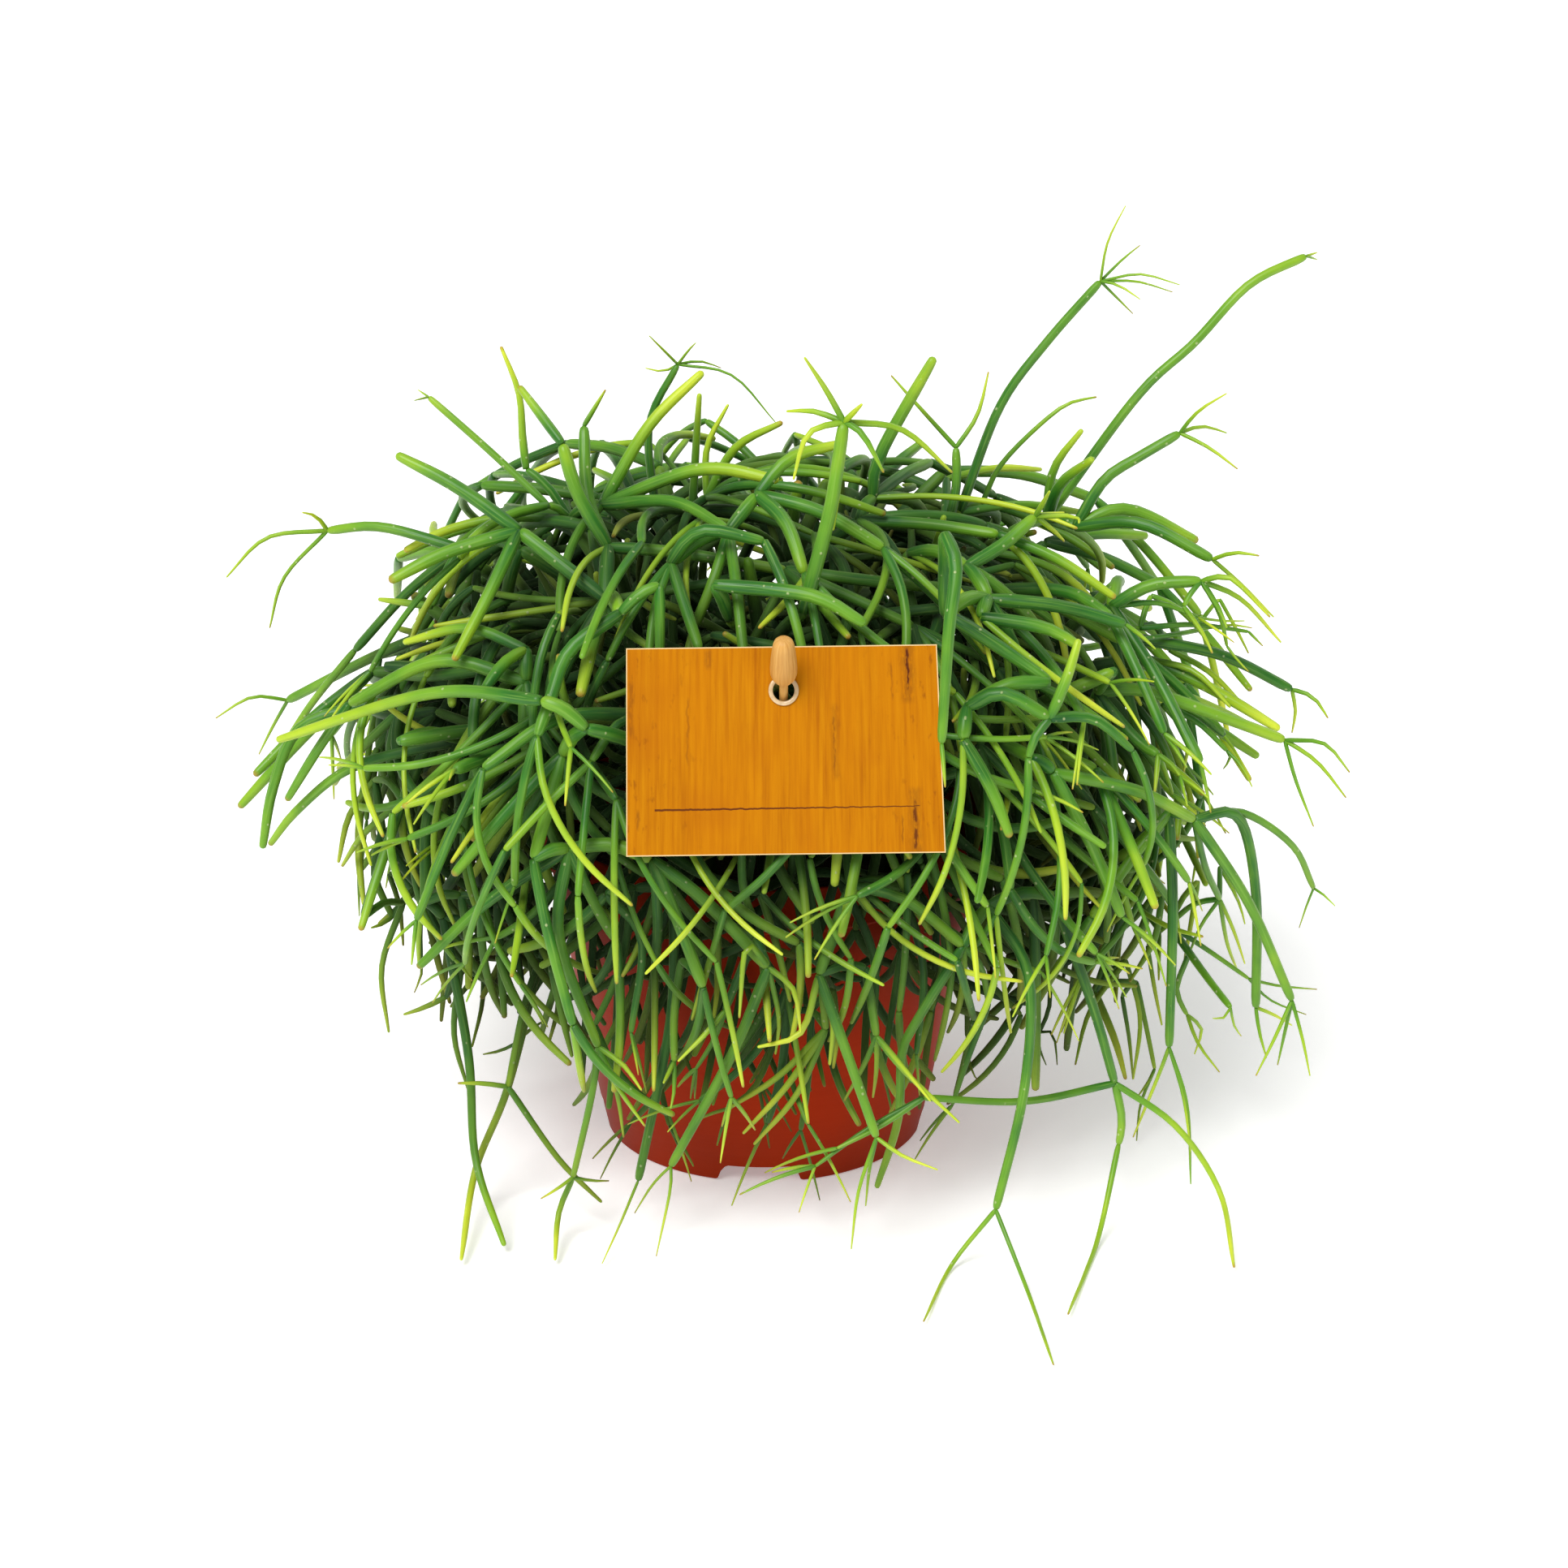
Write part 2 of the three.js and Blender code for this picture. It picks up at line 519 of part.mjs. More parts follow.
    tips: [[-142, 115, -152, 109], [-136, 107, -140, 99]], tipR: 0.7 },
  { line: [[-92, 140], [-107, 142]], y: [-14, -8], r: [1.3, 1.1] },
  { line: [[-66, 128], [-82, 134], [-100, 130]], y: [-52, -38], r: [1.8, 1.3] },
  { line: [[-66, 119], [-90, 125], [-115, 113]], y: [-60, -46], r: [2.2, 1.8] },
  { line: [[-62, 114], [-92, 116], [-135, 103]], y: [-64, -24], r: [2.1, 1.5] },
  { line: [[-86, 116], [-113, 112], [-129, 106], [-136, 90], [-139, 73]], y: [-20, -22], r: [2.1, 1.7] },
  { line: [[-84, 103], [-113, 96], [-129, 84], [-137, 74]], y: [-42, -30], r: [1.8, 1.4] },
  { line: [[-56, 99], [-68, 85], [-81, 65]], y: [-74, -62], r: [2.1, 1.6] },
  { line: [[-56, 99], [-60, 84], [-64, 70]], y: [-74, -84], r: [2.1, 1.9] },
  { line: [[-86, 101], [-93, 83], [-94, 58]], y: [-50, -54], r: [2.2, 1.8] },
  { line: [[-40, 138], [-54, 128], [-59, 115], [-63, 104]], y: [-66, -84], r: [2.2, 1.8] },
  { line: [[-33, 110], [-57, 109], [-78, 95]], y: [-62, -80], r: [2.1, 1.7] },
  { line: [[-33, 110], [-41, 107], [-48, 97]], y: [-62, -88], r: [1.7, 1.3] },
  { line: [[-29, 146], [-29, 126]], y: [-60, -66], r: [1.7, 1.5] },
  { line: [[-25, 148], [-18, 128]], y: [-58, -66], r: [1.9, 1.6] },
  { line: [[-14, 146], [13, 143], [28, 135]], y: [-58, -66], r: [2.1, 2.0] },
  // Hanging in front of the pot.
  { line: [[-54, 73], [-77, 58], [-96, 40]], y: [-80, -74], r: [2.1, 1.7] },
  { line: [[-54, 73], [-57, 49], [-46, 18]], y: [-80, -84], r: [2.2, 1.6],
    tips: [[-40, 6, -33, -4], [-41, 6, -39, -7], [-39, 13, -34, 6]], tipR: 1.1 },
  { line: [[-60, 72], [-60, 50], [-53, 24]], y: [-74, -72], r: [2.0, 1.7] },
  { line: [[-31, 70], [-16, 58], [1, 40]], y: [-84, -90], r: [2.2, 1.9],
    tips: [[8, 34, 10, 22], [4, 26, 3, 16], [-5, 46, -7, 26]], tipR: 1.1 },
  { line: [[24, 63], [15, 38]], y: [-82, -88], r: [2.1, 1.9] },
  { line: [[15, 38], [24, 13], [31, -7]], y: [-88, -92], r: [1.9, 1.6],
    tips: [[26, -22, 24, -38], [29, -16, 28, -26], [38, -12, 48, -16]], tipR: 0.8 },
  { line: [[15, 38], [10, 22], [-2, 18]], y: [-88, -94], r: [1.3, 0.9] },
  { line: [[15, 38], [19, 26], [18, 13]], y: [-88, -86], r: [1.3, 0.9] },
  { line: [[4, 40], [-9, 16], [-26, -15]], y: [-78, -86], r: [1.9, 1.5],
    tips: [[-26, -21, -30, -40], [-31, -20, -36, -28]], tipR: 0.6 },
  { line: [[-25, 60], [-26, 26], [-35, -19]], y: [-76, -80], r: [1.8, 1.5],
    tips: [[-40, -31, -45, -42]], tipR: 0.6 },
  { line: [[55, 46], [42, 25], [38, 16], [37, -2], [31, -21]], y: [-82, -80], r: [1.8, 1.3] },
  // Trailing on the right.
  { line: [[62, 57], [73, 38], [72, 7], [64, -27]], y: [-74, -90], r: [2.0, 1.5],
    tips: [[52, -42, 44, -58], [73, -50, 80, -70]], tipR: 0.9 },
  { line: [[74, 60], [75, 40], [75, 6]], y: [-64, -60], r: [2.0, 1.8] },
  { line: [[80, 60], [91, 29], [97, 8]], y: [-66, -62], r: [2.0, 1.6] },
  { line: [[97, 8], [99, -2], [98, -9]], y: [-62, -62], r: [1.5, 1.4],
    tips: [[92, -36, 84, -56]], tipR: 1.1 },
  { line: [[97, 8], [72, 3], [44, 4]], y: [-62, -84], r: [1.4, 1.3],
    tips: [[28, -5, 14, -15], [32, -4, 20, -10]], tipR: 1.1 },
  { line: [[97, 8], [114, -4], [126, -22], [130, -43]], y: [-62, -70], r: [1.3, 0.9] },
  // Trailing on the left.
  { line: [[-89, 54], [-82, 16], [-80, -13], [-72, -37]], y: [-50, -72], r: [1.9, 1.2] },
  { line: [[-62, 43], [-71, 7], [-80, -16], [-84, -41]], y: [-58, -66], r: [1.5, 1.1] },
  { line: [[-71, 7], [-57, -13], [-45, -25]], y: [-58, -66], r: [1.2, 1.0] },
  { line: [[-46, 18], [-48, 4], [-53, -18]], y: [-84, -78], r: [1.3, 1.1],
    tips: [[-57, -21, -62, -24], [-48, -19, -43, -19]], tipR: 0.7 },
  { line: [[-53, -18], [-57, -28], [-58, -41]], y: [-78, -76], r: [1.1, 1.0] },
];
// Depths to try for a shoot, and for a tip, when its drawn place is taken, and rises for an unseen stem.
const NUDGES = [0, -4, 4, -8, 8, -12, 12, -16, 16, -20, 20, -26, 26];
const TIP_NUDGES = [6, -6, 12, -12, 0, 18, -18, 24];
const LIFTS = [0.12, 0.25, 0, 0.4, -0.12];
const TIP_THINNING = 0.6;
const SNAP = 5; // a drawn start this close to a joint in the front view is that joint
const SNAP_DEPTH = 28;
// The joints that an unseen stem may start at.
const HOST = { children: 7, thickness: 0.75, nearest: 6, farthest: 62 };

// A drawn point, or the point on the ground in front of it where it would lie below the ground.
function drawnPoint(u, v, y, r) {
  let point = fromFront(u, v, y);
  const least = r + 2 * GAP;
  if (point[2] < least) point = mix(FRONT.eye, point, (FRONT.eye[2] - least) / (FRONT.eye[2] - point[2]));
  return point;
}

function drawnLine(shoot, nudge, first) {
  const count = shoot.line.length - 1;
  const r = Math.max(...shoot.r);
  return shoot.line.map(([u, v], i) => {
    const y = (first ? first[1] : shoot.y[0] + nudge) * (1 - i / count) + (shoot.y[1] + nudge) * (i / count);
    return i === 0 && first ? first : drawnPoint(u, v, y, r);
  });
}

const fits = (points, r, skip) =>
  points
    .slice(1)
    .every((p, i) => inBounds(p, r, false) && inBounds(mix(p, points[i], 0.5), r, false)) &&
  isClear(points, r, skip);

// A straight or slightly arched unseen stem from a joint to a drawn start.
function link(host, start, r) {
  const from = endOf(host);
  const span = len(sub(start, from));
  for (const lift of LIFTS) {
    const middle = add(mix(from, start, 0.5), [0, 0, span * lift]);
    const points = [from, middle, start];
    if (fits(points, r, family(host))) return points;
  }
  return null;
}

function addTips(stem, shoot) {
  (shoot.tips || []).forEach((tip, i) => {
    const r = shoot.tipR;
    const from = endOf(stem);
    for (const nudge of TIP_NUDGES) {
      const y = from[1] + (i % 2 ? nudge : -nudge);
      const points = [from];
      for (let k = 0; k < tip.length; k += 2) {
        points.push(drawnPoint(tip[k], tip[k + 1], from[1] + ((y - from[1]) * (k + 2)) / tip.length, r));
      }
      if (fits(points, r, family(stem))) {
        addStem({ points, radii: [r, r * TIP_THINNING], cutting: stem.cutting, parent: stem });
        return;
      }
    }
  });
}

// Lays a drawn shoot from the joint it starts at, or else from the nearest joint that an unseen stem reaches.
function layShoot(shoot) {
  const [u, v] = shoot.line[0];
  const r = Math.max(...shoot.r);
  const near = stems.filter((stem) => {
    if (stem.rooted) return false;
    const [su, sv] = toFront(endOf(stem));
    return Math.hypot(su - u, sv - v) < SNAP && Math.abs(endOf(stem)[1] - shoot.y[0]) < SNAP_DEPTH;
  });
  for (const nudge of NUDGES) {
    for (const host of near) {
      const points = drawnLine(shoot, nudge, endOf(host));
      if (!fits(points, r, family(host))) continue;
      addTips(addStem({ points, radii: shoot.r, cutting: host.cutting, parent: host }), shoot);
      return;
    }
  }
  for (const nudge of NUDGES) {
    const points = drawnLine(shoot, nudge, null);
    if (!inBounds(points[0], r, false) || !fits(points, r, new Set())) continue;
    const hosts = stems
      .filter((stem) => stem.children.length < HOST.children)
      .filter((stem) => Math.min(...stem.radii) > r * HOST.thickness)
      .map((stem) => ({ stem, far: len(sub(endOf(stem), points[0])) }))
      .filter(({ far }) => far > HOST.nearest && far < HOST.farthest)
      .sort((a, b) => a.far - b.far || a.stem.id - b.stem.id);
    for (const { stem: host } of hosts) {
      const path = link(host, points[0], r);
      if (!path) continue;
      const unseen = addStem({ points: path, radii: [r, r], cutting: host.cutting, parent: host });
      addTips(addStem({ points, radii: shoot.r, cutting: host.cutting, parent: unseen }), shoot);
      return;
    }
  }
}

// The first forks of every cutting, then the drawn shoots, then the rest of the crown.
const FIRST = { rounds: 3, tries: 30, length: [34, 46], spread: [20, 50], drift: 0.45, radii: [2.2, 2.0] };
for (let round = 0; round < FIRST.rounds; round++) {
  for (const base of bases) grow(base, FIRST, FIRST.radii);
}
for (const shoot of SHOOTS) layShoot(shoot);
const drawnCount = stems.length;

// Each round lets one joint of every cutting fork again, into a thinner stem, until the plant has them all.
const FILL = { rounds: 45, tries: 14, length: [30, 52], spread: [12, 60], drift: 0.45, forks: 3, most: 400 };
const THINNING = { atFork: 0.08, along: 0.2, leastStart: 1.3, leastEnd: 1.2, leastHost: 1.25 };
for (let round = 0; round < FILL.rounds; round++) {
  for (const base of bases) {
    const open = stems.filter(
      (stem) =>
        stem.cutting === base.cutting &&
        stem.children.length < FILL.forks &&
        stem.radii[1] > THINNING.leastHost,
    );
    if (!open.length || stems.length >= FILL.most) continue;
    const host = open[Math.floor(random() * open.length)];
    const start = Math.max(THINNING.leastStart, host.radii[1] - THINNING.atFork);
    grow(host, FILL, [start, Math.max(THINNING.leastEnd, start - THINNING.along)]);
  }
}

// Stems that grew into the bare upper left of the front view, past the drawn ones, are taken off again.
const BARE = { left: -105, low: 104 };
const strays = () =>
  stems.filter((stem) => {
    const [u, v] = toFront(endOf(stem));
    return stem.id >= drawnCount && !stem.children.length && u < BARE.left && v > BARE.low;
  });
for (let found = strays(); found.length; found = strays()) {
  for (const stem of found) {
    stem.parent.children = stem.parent.children.filter((child) => child !== stem);
    stems.splice(stems.indexOf(stem), 1);
  }
}

// The stems grow with room round them and are slimmer than that room, most of all those that hang low.
const SLIM = { low: 0.76, high: 0.87, lowHeight: 60, highHeight: 140 };
for (const stem of stems) {
  const t = clamp((endOf(stem)[2] - SLIM.lowHeight) / (SLIM.highHeight - SLIM.lowHeight), 0, 1);
  stem.radii = stem.radii.map((r) => r * (SLIM.low + (SLIM.high - SLIM.low) * t));
}

// ---------------------------------------------------------------- meshes

const root = new THREE.Group();
root.name = "mistletoe_cactus";
function piece(name, manifold, colour, roughness) {
  const material = new THREE.MeshStandardMaterial({ color: colour, roughness, metalness: 0 });
  const mesh = new THREE.Mesh(geometryOf(manifold), material);
  mesh.name = name;
  root.add(mesh);
}

// Pot.
const floorTop = POT.footHeight + POT.floor;
const innerAt = (z) => outerAt(z) - POT.wall;
let pot = turned(
  [
    [0, POT.footHeight],
    [POT.footRadius - POT.footWidth, POT.footHeight],
    [POT.footRadius - POT.footWidth, 0],
    [POT.footRadius, 0],
    [outerAt(POT.stepHeight), POT.stepHeight],
    [outerAt(POT.stepHeight) + POT.stepOut, POT.stepHeight + POT.stepOut],
    [outerAt(bandFoot) + POT.stepOut, bandFoot],
    [POT.rimRadius - POT.edge, bandFoot + POT.stepOut],
    [POT.rimRadius, POT.height - POT.edge],
    [POT.rimRadius - POT.edge, POT.height],
    [POT.rimRadius - POT.wall, POT.height],
    [innerAt(bandFoot), bandFoot - POT.wall],
    [innerAt(floorTop + POT.corner), floorTop + POT.corner],
    [innerAt(floorTop) - POT.corner, floorTop],
    [0, floorTop],
  ],
  POT.around,
);
const footCut = 12; // depth of a notch's cutter, which reaches through the foot ring
for (let i = 0; i < NOTCH.count; i++) {
  const shape = new THREE.Shape();
  shape.moveTo(-NOTCH.bottomWidth / 2 - 1, -1);
  shape.lineTo(NOTCH.bottomWidth / 2 + 1, -1);
  shape.lineTo(NOTCH.bottomWidth / 2, 0);
  shape.lineTo(NOTCH.topWidth / 2, NOTCH.height);
  shape.lineTo(-NOTCH.topWidth / 2, NOTCH.height);
  shape.lineTo(-NOTCH.bottomWidth / 2, 0);
  const cut = new THREE.ExtrudeGeometry(shape, { depth: footCut, bevelEnabled: false, steps: 1 });
  cut.rotateX(Math.PI / 2);
  cut.translate(0, footCut * 0.7 - POT.footRadius, 0);
  cut.rotateZ((2 * Math.PI * i) / NOTCH.count + rad(NOTCH.turn));
  pot = pot.subtract(solid(cut));
}
for (let i = 0; i < DRAIN.count; i++) {
  const turn = (2 * Math.PI * (i + 0.5)) / DRAIN.count;
  const cut = new THREE.CylinderGeometry(DRAIN.radius, DRAIN.radius, 4 * POT.floor, DRAIN.around);
  cut.rotateX(Math.PI / 2);
  cut.translate(Math.cos(turn) * DRAIN.pitchRadius, Math.sin(turn) * DRAIN.pitchRadius, floorTop);
  pot = pot.subtract(solid(cut));
}
piece("pot", pot, 0x9c3218, 0.45);

// Soil, with a pit for each cutting and for the pin.
const soilAt = (z) => innerAt(z) - 1.4 * GAP;
const soilShoulder = SOIL.top - SOIL.shoulder;
let soil = turned(
  [
    [0, floorTop + GAP],
    [innerAt(floorTop) - POT.corner - GAP, floorTop + GAP],
    [soilAt(floorTop + POT.corner + 1), floorTop + POT.corner + 1],
    [soilAt(soilShoulder) - GAP, soilShoulder],
    [soilAt(SOIL.top) - SOIL.edge, SOIL.top],
    [0, SOIL.top + SOIL.dome],
  ],
  POT.around,
);
function dig(bottom, top, r) {
  const reach = (r + GAP) / Math.cos(Math.PI / SOIL.pitSides);
  const way = unit(sub(top, bottom));
  const pit = tube([sub(bottom, mul(way, GAP)), add(top, mul(way, GAP))], [reach, reach], SOIL.pitSides);
  soil = soil.subtract(pit);
}
for (const base of bases) dig(base.points[0], base.points[1], base.radii[0]);
dig(onPin(-PIN.below), onPin(-PIN.below / 2), PIN.shaft);
piece("soil", soil, 0x2e2119, 0.95);

// Cuttings. Every stem is a tube of rings. Where it forks, the last ring and its children's first rings all
// lie on a ball about the joint, and the hull between them is the fork. The ball's radius is `least` to `most`
// times the thickest limb's, within a `share` of the shortest limb, with `spare` degrees between the rings.
const FORK = { least: 1.35, most: 9, step: 1.06, spare: 1, share: 0.85, late: 0.4 };
const sidesOf = (r) => (r > THICK ? SIDES : SIDES - 1);

function ringAt(mesh, centre, tangent, across, r, sides) {
  const up = cross(tangent, across);
  const ring = [];
  for (let k = 0; k < sides; k++) {
    const turn = (2 * Math.PI * k) / sides;
    ring.push(mesh.points.length);
    mesh.points.push(add(centre, add(mul(across, Math.cos(turn) * r), mul(up, Math.sin(turn) * r))));
  }
  return ring;
}

function wall(mesh, from, to) {
  from.forEach((a, k) => {
    const next = (k + 1) % from.length;
    mesh.faces.push([a, from[next], to[next]], [a, to[next], to[k]]);
  });
}

function cap(mesh, ring) {
  for (let k = 1; k + 1 < ring.length; k++) mesh.faces.push([ring[0], ring[k], ring[k + 1]]);
}

const square = (across, tangent) => unit(sub(across, mul(tangent, dot(across, tangent))));
const firstSpan = (stem) => len(sub(stem.points[1], stem.points[0]));

// The ball's radius that keeps the rings of all the limbs apart, or 0 if angles or lengths don't allow it.
function forkRadius(limbs) {
  const thickest = Math.max(...limbs.map((limb) => limb.r));
  const room = Math.min(...limbs.map((limb) => limb.room)) * FORK.share;
  const most = Math.min(thickest * FORK.most, room);
  for (let radius = thickest * FORK.least; radius < most; radius *= FORK.step) {
    const apart = limbs.every((one, i) =>
      limbs.slice(i + 1).every((other) => {
        const angle = Math.acos(clamp(dot(one.way, other.way), -1, 1));
        return angle > Math.asin(one.r / radius) + Math.asin(other.r / radius) + rad(FORK.spare);
      }),
    );
    if (apart) return radius;
  }
  return 0;
}

function fork(mesh, rings) {
  const corners = rings.flat().map((index) => {
    const corner = new THREE.Vector3(...mesh.points[index]);
    corner.index = index;
    return corner;
  });
  const owner = new Map(rings.flatMap((ring, i) => ring.map((index) => [index, i])));
  for (const face of new ConvexHull().setFromPoints(corners).faces) {
    const trio = [face.edge, face.edge.next, face.edge.next.next].map((edge) => edge.head().point.index);
    if (trio.some((index) => owner.get(index) !== owner.get(trio[0]))) mesh.faces.push(trio);
  }
}

// Adds a stem, from a ring at its start, and all that grows on it. Children that crowd a fork go into `late`.
function addLimb(mesh, stem, ring, across, late) {
  const count = stem.points.length - 1;
  const sides = ring.length;
  let last = ring;
  for (let i = 1; i < count; i++) {
    const tangent = unit(sub(stem.points[i + 1], stem.points[i - 1]));
    const r = stem.radii[0] + (stem.radii[1] - stem.radii[0]) * (i / count);
    across = square(across, tangent);
    const next = ringAt(mesh, stem.points[i], tangent, across, r, sides);
    wall(mesh, last, next);
    last = next;
  }
  const tangent = endDirection(stem);
  const end = endOf(stem);
  across = square(across, tangent);
  const room = len(sub(end, stem.points[count - 1]));
  let children = stem.children.slice();
  let radius = 0;
  while (children.length) {
    const limbs = children.map((child) => ({
      way: leaving(child.points),
      r: child.radii[0],
      room: firstSpan(child),
    }));
    limbs.push({ way: mul(tangent, -1), r: stem.radii[1], room });
    radius = forkRadius(limbs);
    if (radius) break;
    late.push(children.pop());
  }
  if (!children.length) {
    const next = ringAt(mesh, end, tangent, across, stem.radii[1] * TIP_TAPER, sides);
    wall(mesh, last, next);
    cap(mesh, next);
    return;
  }
  const along = (r) => Math.sqrt(radius * radius - r * r);
  const closingMiddle = sub(end, mul(tangent, along(stem.radii[1])));
  const closing = ringAt(mesh, closingMiddle, tangent, across, stem.radii[1], sides);
  wall(mesh, last, closing);
  const starts = children.map((child) => {
    const way = leaving(child.points);
    const childAcross = square(Math.abs(dot(across, way)) < 0.9 ? across : tangent, way);
    const r = child.radii[0];
    const middle = add(end, mul(way, along(r)));
    return { ring: ringAt(mesh, middle, way, childAcross, r, sidesOf(r)), childAcross };
  });
  stem.forkRadius = radius;
  fork(mesh, [closing, ...starts.map((start) => start.ring)]);
  children.forEach((child, i) => addLimb(mesh, child, starts[i].ring, starts[i].childAcross, late));
}

// A closed solid that begins with a stem: its foot is capped, inside its parent's end if it has a parent.
function limbSolid(stem, late) {
  const mesh = { points: [], faces: [] };
  let start = stem.points[0];
  if (stem.parent) {
    const inside = (stem.parent.forkRadius || 0) + stem.radii[0] * FORK.late;
    start = sub(start, mul(endDirection(stem.parent), inside));
  }
  const way = unit(sub(stem.points[1], start));
  const across = unit(cross(way, asideOf(way)));
  const ring = ringAt(mesh, start, way, across, stem.radii[0], sidesOf(stem.radii[0]));
  cap(mesh, ring.slice().reverse());
  addLimb(mesh, stem, ring, across, late);
  return new wasm.Manifold(
    new wasm.Mesh({
      numProp: 3,
      vertProperties: new Float32Array(mesh.points.flat()),
      triVerts: new Uint32Array(mesh.faces.flat()),
    }),
  );
}

for (const base of bases) {
  const late = [];
  let body = limbSolid(base, late);
  while (late.length) body = body.add(limbSolid(late.shift(), late));
  piece("cutting_" + String(base.cutting + 1).padStart(2, "0"), body, 0x4f8f2f, 0.5);
}

// Card, eyelet and pin.
// A solid made about the origin, facing +Z, that is leant back as the card is and moved to its place.
const placed = (geometry, at) => solid(geometry.rotateX(Math.PI / 2 - LEAN).translate(at[0], at[1], at[2]));
let card = placed(new THREE.BoxGeometry(CARD.width, CARD.height, CARD.thick), cardMiddle);
const punch = new THREE.CylinderGeometry(CARD.holeRadius, CARD.holeRadius, 4, EYELET.around);
punch.rotateX(Math.PI / 2);
card = card.subtract(placed(punch, hole));
piece("label_card", card, 0xd8860f, 0.6);

const face = CARD.thick / 2 + GAP;
const rimFace = face + EYELET.flange;
const ring = new THREE.LatheGeometry(
  [
    [EYELET.inner, -rimFace],
    [EYELET.outer, -rimFace],
    [EYELET.outer, -face],
    [EYELET.barrel, -face],
    [EYELET.barrel, face],
    [EYELET.outer, face],
    [EYELET.outer, rimFace],
    [EYELET.inner, rimFace],
    [EYELET.inner, -rimFace],
  ].map(([r, h]) => new THREE.Vector2(r, h)),
  EYELET.around,
).rotateX(Math.PI / 2);
piece("eyelet", placed(ring, hole), 0xe9e2d2, 0.35);

const pinPoints = [onPin(-PIN.below), onPin(-PIN.below + PIN.point)];
const pinRadii = [PIN.pointRadius, PIN.shaft];
for (const [t, r] of PIN_HEAD) {
  pinPoints.push(onPin(t));
  pinRadii.push(r);
}
pinPoints.push(onPin(PIN.above));
pinRadii.push(PIN.topRadius);
piece("label_pin", tube(pinPoints, pinRadii, PIN.sides), 0xdcb98a, 0.6);

export default root;
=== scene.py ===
"""The looks of a potted mistletoe cactus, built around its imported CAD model.

The stems grow here by the same rules as the CAD solids do, in millimetres, so that each smooth stem lies where its
solid is. Finer young twigs are added to them. Everything is moved to metres when its mesh is made.
"""

import json
import math
import random as chance
from types import SimpleNamespace as Named

import bpy
import numpy as np
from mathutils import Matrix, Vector

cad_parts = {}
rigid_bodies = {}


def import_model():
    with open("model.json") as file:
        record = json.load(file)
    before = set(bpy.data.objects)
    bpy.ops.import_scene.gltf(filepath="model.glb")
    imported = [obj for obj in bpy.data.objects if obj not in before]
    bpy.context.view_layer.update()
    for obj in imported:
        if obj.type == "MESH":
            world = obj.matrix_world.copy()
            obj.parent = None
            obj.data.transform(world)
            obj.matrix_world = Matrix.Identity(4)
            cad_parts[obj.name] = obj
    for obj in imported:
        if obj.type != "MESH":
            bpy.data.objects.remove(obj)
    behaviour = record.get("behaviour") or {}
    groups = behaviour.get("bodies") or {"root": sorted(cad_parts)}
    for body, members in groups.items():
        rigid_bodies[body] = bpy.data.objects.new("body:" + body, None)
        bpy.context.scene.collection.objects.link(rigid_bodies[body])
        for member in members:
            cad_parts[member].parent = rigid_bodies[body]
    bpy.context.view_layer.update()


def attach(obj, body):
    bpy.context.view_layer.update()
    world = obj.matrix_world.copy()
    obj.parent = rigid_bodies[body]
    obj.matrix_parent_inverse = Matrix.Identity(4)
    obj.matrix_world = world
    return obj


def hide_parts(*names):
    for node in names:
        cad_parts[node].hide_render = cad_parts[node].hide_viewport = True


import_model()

MM = 0.001
GAP = 0.3  # between pieces that touch


def add_object(name, data):
    made = bpy.data.objects.new(name, data)
    bpy.context.scene.collection.objects.link(made)
    return made


def new_mesh(name, verts, faces, smooth=False):
    mesh = bpy.data.meshes.new(name)
    mesh.from_pydata(verts, [], faces)
    if smooth:
        mesh.shade_smooth()
    return mesh


# ---------------------------------------------------------------- camera

LENS_MM = 107.55
SENSOR_MM = 36
LOOK_DOWN = 21.7  # degrees
FAR_CLIP = 50
camera_data = bpy.data.cameras.new("camera")
camera_data.lens = LENS_MM
camera_data.sensor_width = SENSOR_MM
camera_data.clip_end = FAR_CLIP
camera = add_object("camera", camera_data)
camera.location = (0.00539, -1.1713, 0.5639)
camera.rotation_euler = (math.radians(90 - LOOK_DOWN), 0, 0)
bpy.context.scene.camera = camera

# ---------------------------------------------------------------- dimensions shared with the CAD model

POT_HEIGHT = 92
RIM_RADIUS = 60
BAND_HEIGHT = 13
FOOT_RADIUS = 43.5
POT_TAPER = 0.18
POT_WALL = 1.3
FOOT_HEIGHT = 5.3
FOOT_WIDTH = 2.6
FLOOR_THICK = 1.6
STEP_HEIGHT = 9
STEP_OUT = 0.4
NOTCH = Named(count=4, top=17.6, bottom=21.6, height=5, turn=-1.7)
DRAIN = Named(count=8, radius=2.4, pitch=33)
SOIL_TOP = 80
SOIL_DOME = 2
PIT_DEPTH = 22

CARD = Named(width=78.6, height=52, thick=0.5, lean=20, hole_up=15, hole_radius=3.35)
CARD_MIDDLE = (5.3, -82, 139.4)
EYELET = Named(outer=3.8, inner=2.7, barrel=3.05, flange=0.3)
PIN = Named(lean=25, above=19, below=98, shaft=1.1)

REACH = 153  # the plant's half width
TALLEST = 256
CLEAR = 0.45  # least space between two stems that don't share a joint
AROUND_POT = 1
SEED = 20

# ---------------------------------------------------------------- vectors


def add(a, b):
    return (a[0] + b[0], a[1] + b[1], a[2] + b[2])


def sub(a, b):
    return (a[0] - b[0], a[1] - b[1], a[2] - b[2])


def mul(a, k):
    return (a[0] * k, a[1] * k, a[2] * k)


def dot(a, b):
    return a[0] * b[0] + a[1] * b[1] + a[2] * b[2]


def cross(a, b):
    return (a[1] * b[2] - a[2] * b[1], a[2] * b[0] - a[0] * b[2], a[0] * b[1] - a[1] * b[0])


def length_of(a):
    return math.sqrt(dot(a, a))


def unit(a):
    return mul(a, 1 / length_of(a))


